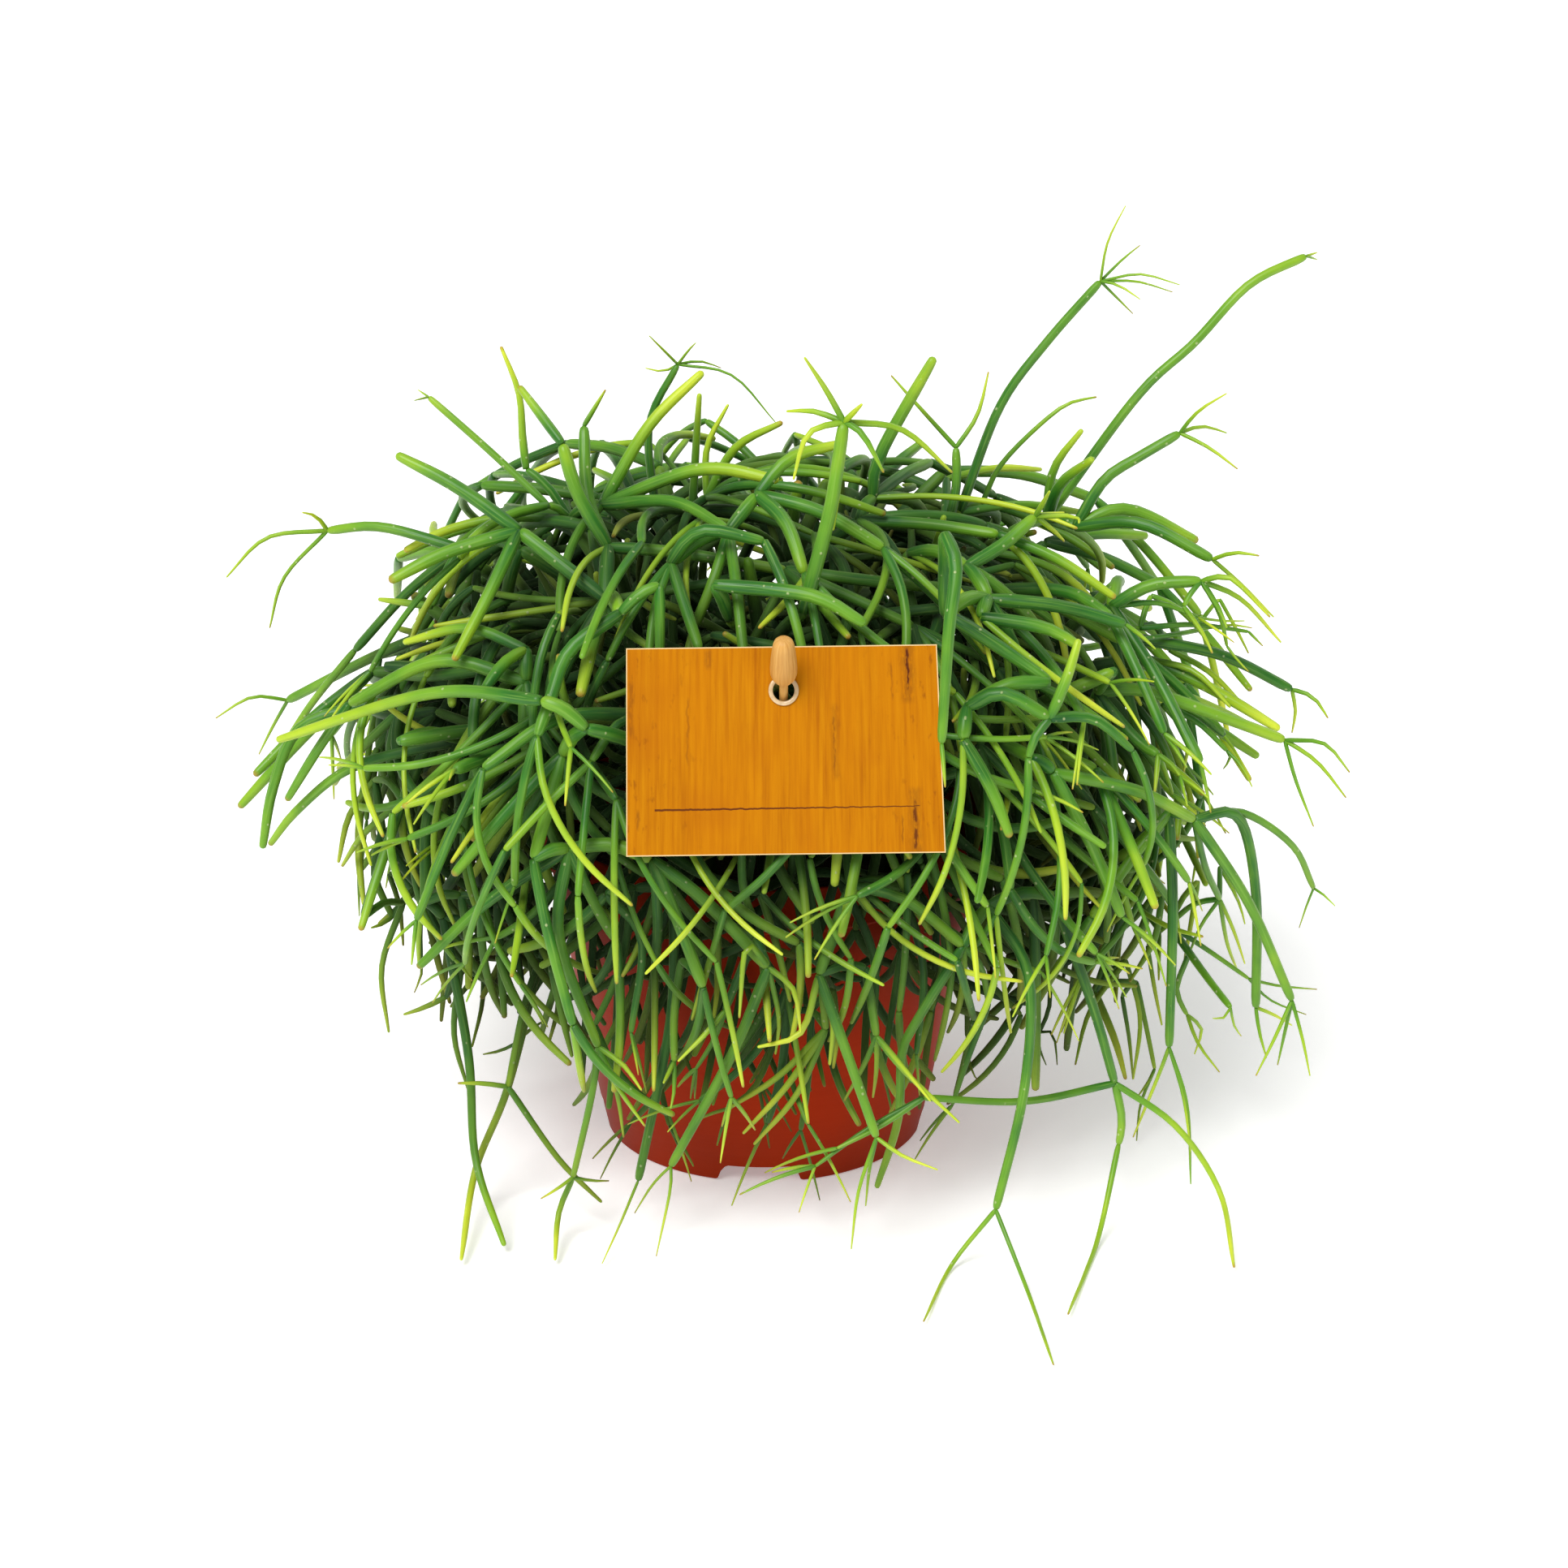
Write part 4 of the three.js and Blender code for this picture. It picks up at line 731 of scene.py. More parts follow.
while found := [stem for stem in stems if astray(stem)]:
    for stem in found:
        stem.parent.children.remove(stem)
        stems.remove(stem)

# The stems grow with room round them and are slimmer than that room, most of all those that hang low.
SLIM = Named(low=0.76, high=0.87, low_height=60, high_height=140)


def slim(stem):
    t = within((stem.end[2] - SLIM.low_height) / (SLIM.high_height - SLIM.low_height))
    factor = SLIM.low + (SLIM.high - SLIM.low) * t
    stem.radii = [r * factor for r in stem.radii]


# ---------------------------------------------------------------- finer stems, which only the looks have

luck = chance.Random(SEED)
MOST_STEMS = 4300  # that there is room for


class Ends:
    """The far joints of all the stems, as an array that new stems are added to."""

    def __init__(self):
        self.at = np.zeros((MOST_STEMS + 1, 3))
        self.count = 0
        self.update()

    def update(self):
        while self.count < len(stems):
            self.at[self.count] = stems[self.count].end
            self.count += 1

    def near(self, point, low, high):
        """The stems that end between low and high from a point, nearest first."""
        far = np.linalg.norm(self.at[: self.count] - point, axis=1)
        found = np.flatnonzero((far > low) & (far < high))
        return [stems[i] for i in found[np.argsort(far[found], kind="stable")]]


ends = Ends()

# The dense part of the plant: a dome about the pot, and in the front view its left and right edge at each height.
BUSH = Named(radius=126, front=98, base=84, top=106, power=2.5, narrowing=0.002)
OUTLINE = [
    (-20, -40, 46), (5, -52, 56), (15, -60, 74), (25, -76, 100), (35, -88, 110), (45, -93, 112), (55, -101, 114),
    (65, -106, 116), (75, -106, 118), (85, -110, 116), (95, -112, 113), (105, -113, 110), (115, -116, 106),
    (125, -106, 103), (135, -95, 98), (145, -95, 92), (155, -98, 85), (165, -88, 77), (171, -78, 60),
    (179, -64, 44), (186, -44, 24), (192, -18, 8),
]
MOST_RAISED = 0.98


def in_outline(u, v, spare):
    if v > OUTLINE[-1][0] + spare:
        return False
    (_, left0, right0), (_, left1, right1), t = rows_at(OUTLINE, v)
    t = within(t)
    return left0 + (left1 - left0) * t - spare < u < right0 + (right1 - right0) * t + spare


SKIRT_STRETCH = 1.12
FACE = Named(u=1, half_width=46, v=34)  # the front of the pot, which only the fringe covers


def bush_room(grown, spare, lower):
    """Makes the test of whether a finer stem may pass through a point."""

    def room(p, r):
        if not in_bounds(p, r) or not in_dome(BUSH, p, grown, min(grown, MOST_RAISED)):
            return False
        if p[2] < skirt_at(out_in(BUSH, p) * SKIRT_STRETCH) - lower:
            return False
        u, v = to_front(p)
        if not in_outline(u, v, spare):
            return False
        if p[1] > 0:
            return True
        if abs(u - FACE.u) < FACE.half_width and v < FACE.v:
            return False
        return not hides_card(p, u, v, 2.5, 2)

    return room


FRINGE = Named(y=-50, reach=1.02)


def fringe_room(p, r):
    """The same for the stems that hang in front of the pot."""
    if not in_bounds(p, r) or p[1] > FRINGE.y:
        return False
    return not hides_card(p, *to_front(p), 2, 2) and out_in(BUSH, p) < BUSH.radius * FRINGE.reach


MOST_INWARDS = -0.12


def stream(p, flare=0.0):
    """The way that finer stems run: outwards over the crown, then down, and outwards again by the flare."""
    outwards, down = round_eddy(p, out_in(BUSH, p) or 1)
    if down > 0:
        outwards = max(outwards, MOST_INWARDS)
        down = math.sqrt(1 - outwards**2)
    return unit(from_axis(p, outwards + flare, down))


def bent(start, heading, target, pull):
    """A line from a joint to a target that first follows its heading."""
    return curve(start, add(start, mul(heading, length_of(sub(target, start)) * pull)), target, 4)


# How a finer stem starts: how many joints it tries, their least thickness, how much it turns and where the stream
# is felt, the shares of its way, its joint's heading and the stream in its start, and its knee.
TRY = Named(hosts=12, thickness=0.72, ahead=0.1, felt=0.6, most_alike=0.95)
SHARES = Named(way=0.55, heading=0.2, stream=0.4)
KNEE = (0.42, 0.58)


def try_fill(target, low, high, radii, most_children, room, along, overlap, flare=0.0):
    """Grows a finer stem from the nearest joint that can reach a target along the stream."""
    for host in ends.near(target, luck.uniform(low, 0.4 * low + 0.6 * high), high)[: TRY.hosts]:
        if len(host.children) >= most_children or host.radii[1] < radii[0] * TRY.thickness:
            continue
        way = unit(sub(target, host.end))
        run = stream(mix(host.end, target, TRY.felt), flare)
        if dot(way, host.heading) < TRY.ahead or dot(way, run) < along:
            continue
        start = add(mul(way, SHARES.way), mul(host.heading, SHARES.heading))
        start = unit(add(start, mul(stream(host.end, flare), SHARES.stream)))
        points = bent(host.end, start, target, luck.uniform(*KNEE))
        if not all(room(p, radii[0]) for p in points[1:]):
            continue
        if not spans.clear(points[1:], radii[0], host.family(), -overlap):
            continue
        if any(dot(leaving(points), leaving(child.points)) > TRY.most_alike for child in host.children):
            continue
        Stem(points, radii, host.cutting, host)
        ends.update()
        return


def crown_point(inside, grown, room):
    """A random point of the crown, from `inside` to `grown` of the way out to its outline."""
    while True:
        bearing = luck.uniform(0, 2 * math.pi)
        rise = luck.uniform(-0.5, 1)
        share = luck.uniform(inside**2, grown**2) ** 0.5
        level = math.sqrt(max(0, 1 - rise * rise)) if rise > 0 else 1
        x = math.cos(bearing) * level * share * BUSH.radius
        y = math.sin(bearing) * level * share * (BUSH.radius if math.sin(bearing) > 0 else BUSH.front)
        z = BUSH.base + rise * BUSH.top * share
        if room((x, y, z), 1.2):
            return (x, y, z)


def fringe_point():
    """A random point in front of the pot, mostly near its rim."""
    u = luck.uniform(-54, 58)
    v = 66 - 70 * luck.random() ** 2.2
    return from_front(u, v, luck.uniform(-96, -64) + 0.006 * u * u)


# Finer shoots that are drawn as the others are: in front of the pot, then about the outline.
FINE = [
    ((-3, 48, -11, 28), -84, -88, 1.5, 1.3, 1.1, (-16, 22, -24, 14), (-14, 20, -19, 12)),
    ((17, 23, 4, 10, -10, 1), -86, -84, 1.4, 0.9),
    ((17, 23, 6, 7, -6, -6), -86, -82, 1.4, 0.9),
    ((17, 23, 9, 5, -3, -9), -86, -80, 1.3, 0.9),
    ((13, 28, 12, 8, 10, -5), -84, -82, 1.3, 1.0),
    ((28, 40, 31, 21), -82, -84, 1.6, 1.4, 1.1, (28, 14, 22, 3), (31, 12, 30, 4), (37, 14, 46, 3),
     (38, 12, 54, -3)),
    ((19, 34, 20, 22, 19, 12), -80, -84, 1.3, 0.9),
    ((-23, 42, -25, 27, -25, 14), -80, -84, 1.5, 1.3, 1.0, (-25, 6, -26, 1), (-27, 10, -28, 8)),
    ((5, 26, -2, 8, -10, 1), -82, -86, 1.3, 0.9),
    ((-13, 52, -13, 36, -14, 26), -80, -84, 1.4, 1.0),
    ((-36, 62, -40, 40, -47, 24), -78, -82, 1.7, 1.1),
    ((-44, 60, -34, 48, -37, 22), -76, -80, 1.7, 1.1),
    ((-20, 66, -30, 46, -45, 17), -78, -84, 1.8, 1.1),
    ((38, 62, 44, 40, 42, 16), -78, -82, 1.7, 1.0),
    ((34, 52, 30, 36, 22, 20), -76, -80, 1.6, 1.0),
    ((54, 47, 60, 40, 62, 30), -76, -72, 1.4, 0.9),
    ((20, 66, 30, 44, 30, 22), -74, -78, 1.7, 1.2),
    ((-6, 62, -2, 46, 6, 34), -76, -80, 1.7, 1.2),
    ((8, 64, 10, 50, 4, 36), -74, -78, 1.7, 1.2),
    ((-30, 56, -22, 40, -26, 24), -72, -76, 1.6, 1.0),
    ((46, 66, 50, 46, 46, 28), -74, -76, 1.7, 1.0),
    ((-52, 52, -50, 34, -44, 24), -72, -74, 1.6, 1.0),
    ((-88, 32, -94, 29, -100, 27), -40, -40, 1.2, 0.8),
    ((-71, 7, -78, 8, -85, 8), -58, -58, 1.0, 0.7),
    ((-100, 58, -106, 40, -104, 22), -30, -30, 1.3, 0.8),
    ((-84, 40, -86, 22, -82, 6), -46, -46, 1.3, 0.8),
    ((60, 30, 56, 14, 52, 2), -66, -66, 1.3, 0.8),
    ((117, 78, 122, 68, 126, 59), -30, -30, 1.3, 1.1, 0.8, (130, 50, 133, 41), (121, 52, 118, 45)),
    ((112, 52, 124, 44, 134, 37), -24, -20, 1.1, 0.8, 0.6, (142, 35, 153, 34), (140, 31, 150, 27)),
    ((115, 50, 122, 38, 129, 29), -36, -36, 1.5, 1.2, 0.6, (127, 26, 124, 26), (130, 24, 132, 21)),
    ((117, 44, 114, 34, 117, 27), -24, -24, 1.1, 1.0, 0.8, (120, 19, 126, 11), (121, 23, 119, 16)),
    ((100, 42, 104, 26, 102, 9), -30, -34, 1.1, 0.7),
    ((103, 36, 106, 22, 108, 12), -20, -22, 1.1, 0.9, 0.7, (106, 8, 103, 4), (104, 2, 103, -8)),
    ((96, 44, 90, 28, 86, 13), -44, -46, 1.2, 0.6),
    ((84, 44, 86, 34, 82, 22), -36, -38, 1.2, 0.8),
    ((91, 30, 97, 20, 100, 9), -40, -42, 1.5, 1.2),
    ((78, 44, 79, 30, 76, 22), -30, -30, 1.0, 0.8, 0.6, (80, 22, 81, 13), (76, 18, 78, 13)),
    ((54, 46, 62, 36, 71, 27), -52, -50, 1.3, 1.1),
    ((55, 46, 56, 30, 56, 21), -54, -52, 1.3, 1.0, 0.7, (57, 12, 59, 9)),
    ((99, 32, 101, 20, 102, 9), -14, -14, 1.0, 0.6),
    ((120, 64, 118, 52, 116, 40), -16, -18, 1.1, 0.8),
    ((126, 68, 131, 59, 133, 52), -22, -22, 0.9, 0.5),
    ((106, 46, 108, 34, 110, 24), -24, -26, 1.0, 0.7),
    ((123, 56, 128, 47, 131, 39), -14, -14, 0.9, 0.6),
    ((110, 60, 108, 48, 101, 36), -20, -22, 1.3, 1.0),
    ((104, 134, 119, 135, 134, 133), -20, -20, 1.0, 0.6, 0.5, (136, 131, 138, 129)),
    ((121, 146, 126, 138, 128, 129), -26, -26, 0.9, 0.6, 0.5, (131, 125, 134, 122)),
    ((107, 143, 114, 140, 120, 134), -14, -14, 1.0, 0.8),
    ((99, 139, 109, 141, 120, 137), -22, -24, 1.0, 0.7, 0.5, (126, 133, 130, 130), (126, 136, 133, 136)),
    ((116, 140, 121, 133, 124, 127), -32, -34, 0.9, 0.6),
    ((101, 131, 112, 132, 123, 134), -8, -8, 0.9, 0.7, 0.5, (129, 135, 135, 134)),
    ((126, 142, 131, 133, 134, 127), -18, -18, 0.7, 0.5),
    ((106, 123, 116, 115, 125, 107), -16, -18, 1.0, 0.7, 0.5, (131, 99, 134, 92)),
    ((108, 125, 119, 122, 129, 112), -20, -22, 1.2, 0.8),
    ((112, 128, 123, 122, 134, 111), -10, -12, 1.1, 0.8),
    ((110, 113, 120, 108, 128, 100), -30, -32, 1.2, 0.8, 0.6, (132, 96, 135, 90), (129, 98, 127, 95)),
    ((111, 110, 117, 104, 116, 94), -22, -24, 1.0, 0.6),
    ((-103, 85, -111, 77, -117, 68), -30, -30, 1.2, 1.0),
    ((-108, 92, -115, 82, -118, 69), -22, -22, 1.2, 1.0),
    ((-106, 78, -108, 66, -103, 54), -34, -36, 1.5, 1.2, 0.9, (-106, 52, -109, 51)),
    ((-95, 63, -101, 57, -107, 52), -26, -28, 1.3, 1.1),
    ((-104, 66, -101, 57, -100, 46), -18, -20, 1.1, 0.8),
    ((-94, 60, -91, 44, -87, 30), -40, -42, 1.4, 1.2),
    ((-84, 60, -82, 48, -82, 34), -48, -50, 1.7, 1.4),
    ((-74, 58, -73, 42, -72, 26), -52, -54, 1.7, 1.3),
    ((-66, 48, -64, 34, -69, 19), -46, -48, 1.3, 1.1, 0.8, (-66, 22, -60, 26), (-73, 17, -78, 16)),
    ((-74, 46, -80, 38, -87, 29), -42, -44, 1.2, 1.0),
    ((-75, 44, -78, 31, -81, 18), -40, -42, 1.0, 0.7),
    ((-60, 42, -57, 32, -60, 18), -54, -56, 1.1, 0.8),
    ((-90, 66, -95, 54, -95, 42), -30, -32, 1.2, 0.8, 0.6, (-95, 38, -97, 33)),
]
for shoot in FINE:
    lay_shoot(*shoot)
ends.update()


def slender(p):
    """How far a stem is among those that hang low at the sides: 0 in the crown and 1 right out and down."""
    return within((78 - p[2]) / 40) * within((out_in(BUSH, p) / BUSH.radius - 0.55) / 0.3)


# Rounds of finer stems: targets, how far inside, shortest and longest, thickest and thinnest, children at a
# joint, how close to the stream, how far past the outline and below the skirt they may go, how much of the room
# that slimming leaves they may use, how ragged their outline is, and their flare.
FILLS = [
    (7000, 0.15, 26, 56, 2.0, 1.7, 4, 0.35, 0.94, -4, 0, 0.6, 2, 0.1),
    (9000, 0.6, 32, 64, 1.85, 1.45, 5, 0.52, 0.98, 0, 4, 0.6, 22, 0.3),
    (6000, 0.84, 34, 66, 1.65, 1.0, 6, 0.6, 1.14, 9, 16, 0.5, 30, 0.6),
    (4500, 0.3, 20, 40, 1.6, 1.1, 7, 0.3, 0.92, -5, 0, 0.5, 8, 0.2),
]
SHADES = 6
SIDE_LOSS = 0.5  # share of the low side stems that are left out
SIDE_THINNING = 0.38


def fill(targets, inside, low, high, thick, thin, children, along, grown, spare, lower, overlap, ragged, flare):
    rooms = []
    for i in range(SHADES):
        back = ragged * i / (SHADES - 1)
        rooms.append(bush_room(grown - back / BUSH.radius, spare - back, lower - back))
    for _ in range(targets):
        r = luck.uniform(thin, thick)
        room = luck.choice(rooms)
        target = crown_point(inside, grown, room)
        side = slender(target)
        if luck.random() < SIDE_LOSS * side:
            continue
        r *= 1 - SIDE_THINNING * side
        try_fill(target, low, high, [r, r * 0.86], children, room, along, overlap, flare)


for row in FILLS:
    fill(*row)


def heart_point():
    """A random point in the middle of the crown, at the height of the card and above it."""
    return from_front(luck.uniform(-62, 56), luck.uniform(88, 140), luck.uniform(-66, 40))


def hem_point():
    """A random point low down at the sides and back of the pot."""
    bearing = luck.uniform(-0.3, math.pi + 0.3)
    out = luck.uniform(76, 112)
    return (math.cos(bearing) * out, math.sin(bearing) * out, luck.uniform(34, 78))


def hem_room(p, r):
    if not in_bounds(p, r) or out_in(BUSH, p) > BUSH.radius * 0.98:
        return False
    u, v = to_front(p)
    return in_outline(u, v, -6)


# Tufts of finer stems: tries, targets, thinnest and thickest, thinning, shortest and longest, children at a joint,
# their room, how close to the stream and the overlap.
TUFTS = [
    (1300, fringe_point, 1.15, 1.7, 0.82, 24, 52, 4, fringe_room, 0.74, 0.5),
    (1500, heart_point, 1.3, 1.8, 0.86, 18, 44, 6, bush_room(0.96, 0, 0), -0.3, 0.7),
    (900, hem_point, 1.15, 1.7, 0.82, 24, 54, 5, hem_room, 0.72, 0.6),
]
for tries, point, thin, thick, thinning, low, high, children, room, along, overlap in TUFTS:
    for _ in range(tries):
        r = luck.uniform(thin, thick)
        try_fill(point(), low, high, [r, r * thinning], children, room, along, overlap)


FORKS = Named(aside=(0.35, 0.75), reach=(9, 21), sag=0.16, radius=(0.6, 0.9), knee=0.5, overlap=0.2)


def add_forks(stem, room):
    """Grows two or three thin young tips from the free end of a stem."""
    for _ in range(luck.choice((2, 2, 3))):
        aside = unit(cross(stem.heading, (luck.uniform(-1, 1), luck.uniform(-1, 1), luck.uniform(-1, 1))))
        way = unit(add(stem.heading, mul(aside, luck.uniform(*FORKS.aside))))
        reach = luck.uniform(*FORKS.reach)
        target = add(add(stem.end, mul(way, reach)), (0, 0, -FORKS.sag * reach))
        points = bent(stem.end, way, target, FORKS.knee)
        r = luck.uniform(*FORKS.radius)
        if all(room(p, r) for p in points[1:]) and spans.clear(points[1:], r, stem.family(), -FORKS.overlap):
            Stem(points, [r, r * TIP_THINNING], stem.cutting, stem)


# Forks at the outline: how far out, and at what share of the free ends; then the same in front of the pot.
OUTER = Named(out=0.82, share=0.42, room=bush_room(1.22, 12, 26))
FRONT = Named(y=-60, half_width=60, v=50, share=0.2)
for stem in list(stems):
    outer = stem.parent and out_in(BUSH, stem.end) > OUTER.out * BUSH.radius
    if not stem.children and outer and luck.random() < OUTER.share:
        add_forks(stem, OUTER.room)
for stem in list(stems):
    u, v = to_front(stem.end)
    in_front = stem.end[1] < FRONT.y and abs(u) < FRONT.half_width and v < FRONT.v
    if not stem.children and in_front and luck.random() < FRONT.share:
        add_forks(stem, fringe_room)
for stem in stems:
    slim(stem)

# ---------------------------------------------------------------- stem meshes

STEP = 3.6  # along a stem, between two rings of its mesh
YOUNG_RADIUS = 1.15
BROWNED_SHARE = 0.55  # of the free ends
BROWN_LENGTH = 1.4
HIDDEN = 0.35  # depth in the painted shade from which a stem has the fewest sides


def smooth_line(points, step):
    """Points every step or so along a smooth curve through the given points."""
    p = np.array(points, float)
    p = np.vstack([2 * p[0] - p[1], p, 2 * p[-1] - p[-2]])
    line = []
    for i in range(1, len(p) - 2):
        span = np.linalg.norm(p[i + 1] - p[i])
        count = max(2, round(span / step))
        for t in np.arange(count) / count:
            square = 2 * p[i - 1] - 5 * p[i] + 4 * p[i + 1] - p[i + 2]
            cube = 3 * p[i] - p[i - 1] - 3 * p[i + 1] + p[i + 2]
            line.append(0.5 * (2 * p[i] + (p[i + 1] - p[i - 1]) * t + square * t**2 + cube * t**3))
    line.append(p[-2])
    return np.array(line)


class Skin:
    """The mesh of many stems, with what their material reads at each corner."""

    def __init__(self):
        self.verts, self.faces = [], []
        self.youth, self.tip, self.deep, self.straight = [], [], [], []

    def tube(self, line, radii, sides, youth, tip, deep, offset):
        """A closed tube along a line. youth, tip and the depth of painted shade are given for each point of it."""
        base = len(self.verts)
        tangents = np.gradient(line, axis=0)
        tangents /= np.linalg.norm(tangents, axis=1)[:, None]
        aside = np.array((0, 0, 1.0)) if abs(tangents[0][2]) < 0.9 else np.array((1.0, 0, 0))
        across = np.cross(tangents[0], aside)
        along = 0.0
        turns = 2 * np.pi * np.arange(sides) / sides
        for i, (point, tangent) in enumerate(zip(line, tangents)):
            across = across - tangent * (across @ tangent)
            across /= np.linalg.norm(across)
            up = np.cross(tangent, across)
            if i:
                along += np.linalg.norm(line[i] - line[i - 1])
            ring = point + radii[i] * (np.outer(np.cos(turns), across) + np.outer(np.sin(turns), up))
            self.verts.extend(ring.tolist())
            spread = max(radii)
            for turn in turns:
                self.straight.append((spread * math.cos(turn) + offset, spread * math.sin(turn), along))
            self.youth.extend([youth[i]] * sides)
            self.tip.extend([tip[i]] * sides)
            self.deep.extend([deep[i]] * sides)
            if i:
                for k in range(sides):
                    a, b = base + (i - 1) * sides + k, base + (i - 1) * sides + (k + 1) % sides
                    self.faces.append((a, b, b + sides, a + sides))
        self.faces.append(tuple(base + k for k in reversed(range(sides))))
        last = base + (len(line) - 1) * sides
        self.faces.append(tuple(last + k for k in range(sides)))

    def build(self, name, material):
        mesh = new_mesh(name, (np.array(self.verts) * MM).tolist(), self.faces)
        for title, values in (("youth", self.youth), ("tip", self.tip), ("deep", self.deep)):
            mesh.attributes.new(title, "FLOAT", "POINT").data.foreach_set("value", values)
        straight = np.array(self.straight, np.float32).ravel()
        mesh.attributes.new("straight", "FLOAT_VECTOR", "POINT").data.foreach_set("vector", straight)
        mesh.shade_smooth()
        mesh.materials.append(material)
        return add_object(name, mesh)


def stem_profile(line, r0, r1, free):
    """The line and radii of a stem: pinched where it starts, and tapering to a blunt tip where its end is free."""
    along = np.concatenate([[0], np.cumsum(np.linalg.norm(np.diff(line, axis=0), axis=1))])
    total = along[-1]
    marks = [0, 0.7 * r0, 2 * r0]
    marks += list(np.arange(2 * r0 + 3, total - 3.2 * r1, STEP))
    marks += [total - 2.6 * r1, total - 1.1 * r1, total - 0.4 * r1, total - 0.1 * r1, total]
    marks = np.array(sorted(m for m in marks if 0 <= m <= total))
    line = np.stack([np.interp(marks, along, line[:, k]) for k in range(3)], axis=1)
    share = marks / total
    radii = r0 + (r1 - r0) * share
    radii *= 0.7 + 0.3 * np.clip(marks / (2.6 * r0), 0, 1) ** 0.7
    if free:
        taper = min(12, total * 0.5)
        radii *= 1 - (0.24 if r0 > YOUNG_RADIUS else 0.45) * np.clip((marks - total + taper) / taper, 0, 1) ** 1.5
        cap = 0.7
    else:
        radii *= 1 - 0.2 * np.clip((marks - total + 3) / 3, 0, 1)
        cap = 0.8
    left = np.clip((total - marks) / (r1 * cap), 0, 1)
    radii *= np.sqrt(np.clip(1 - (1 - left) ** 2, 0.03, 1))
    return line, radii, marks


def deepness(line):
    """How far inside the plant each point of a line is, which darkens it as painted shade: 0 at its outline and 1 at
    its middle, and up to 0.6 under the crown by the pot's rim.
    """
    p = np.asarray(line)
    out = np.hypot(p[:, 0], np.where(p[:, 1] < 0, p[:, 1] * BUSH.radius / BUSH.front, p[:, 1])) / BUSH.radius
    rise = np.clip((p[:, 2] - BUSH.base) / BUSH.top, 0, 1)
    front = np.clip((BUSH.base - p[:, 2]) / 40, 0, 1)
    inside = np.clip(1 - out**BUSH.power - rise ** BUSH.power, 0, 1) * (1 - 0.3 * front)
    off_wall = np.hypot(p[:, 0], p[:, 1]) - pot_radius_at(POT_HEIGHT)
    # painted shadow of the crown on the stems that hang close to the pot's rim below it
    crown_shade_by_rim = np.clip(1 - (off_wall - 10) / 34, 0, 1) * np.clip((p[:, 2] - 52) / 22, 0, 1)
    return np.maximum(inside, 0.6 * crown_shade_by_rim * (p[:, 2] < POT_HEIGHT + 14))


plant_skins = [Skin() for _ in bases]
for stem in stems:
    r0, r1 = stem.radii
    free = not stem.children
    widest = max(stem.radii)
    young = widest < YOUNG_RADIUS
    line, radii, marks = stem_profile(smooth_line(stem.points, STEP), r0, r1, free)
    line[:, 2] = np.maximum(line[:, 2], radii)
    share = marks / marks[-1]
    mood = luck.random()
    start = 0.27 * mood**1.4
    gain = 0.15 + 0.2 * luck.random()
    if young:
        start += 0.26 if free else 0.1
    if free:
        gain += 0.1 + 0.42 * luck.random() ** 1.4
    youth = np.clip(start + gain * share, 0, 1)
    browned = 1.0 if free and luck.random() < BROWNED_SHARE else 0.0
    tip = browned * np.clip(1 - (marks[-1] - marks) / BROWN_LENGTH, 0, 1)
    # how deep each point lies in the plant's painted shade
    deep = deepness(line)
    sides = 10 if widest > 1.4 else 8 if widest > 0.9 else 6
    if deep.min() > HIDDEN:
        sides = 6
    plant_skins[stem.cutting].tube(line, radii, sides, youth, tip, deep, 37.0 * stem.id % 500)

# ---------------------------------------------------------------- materials


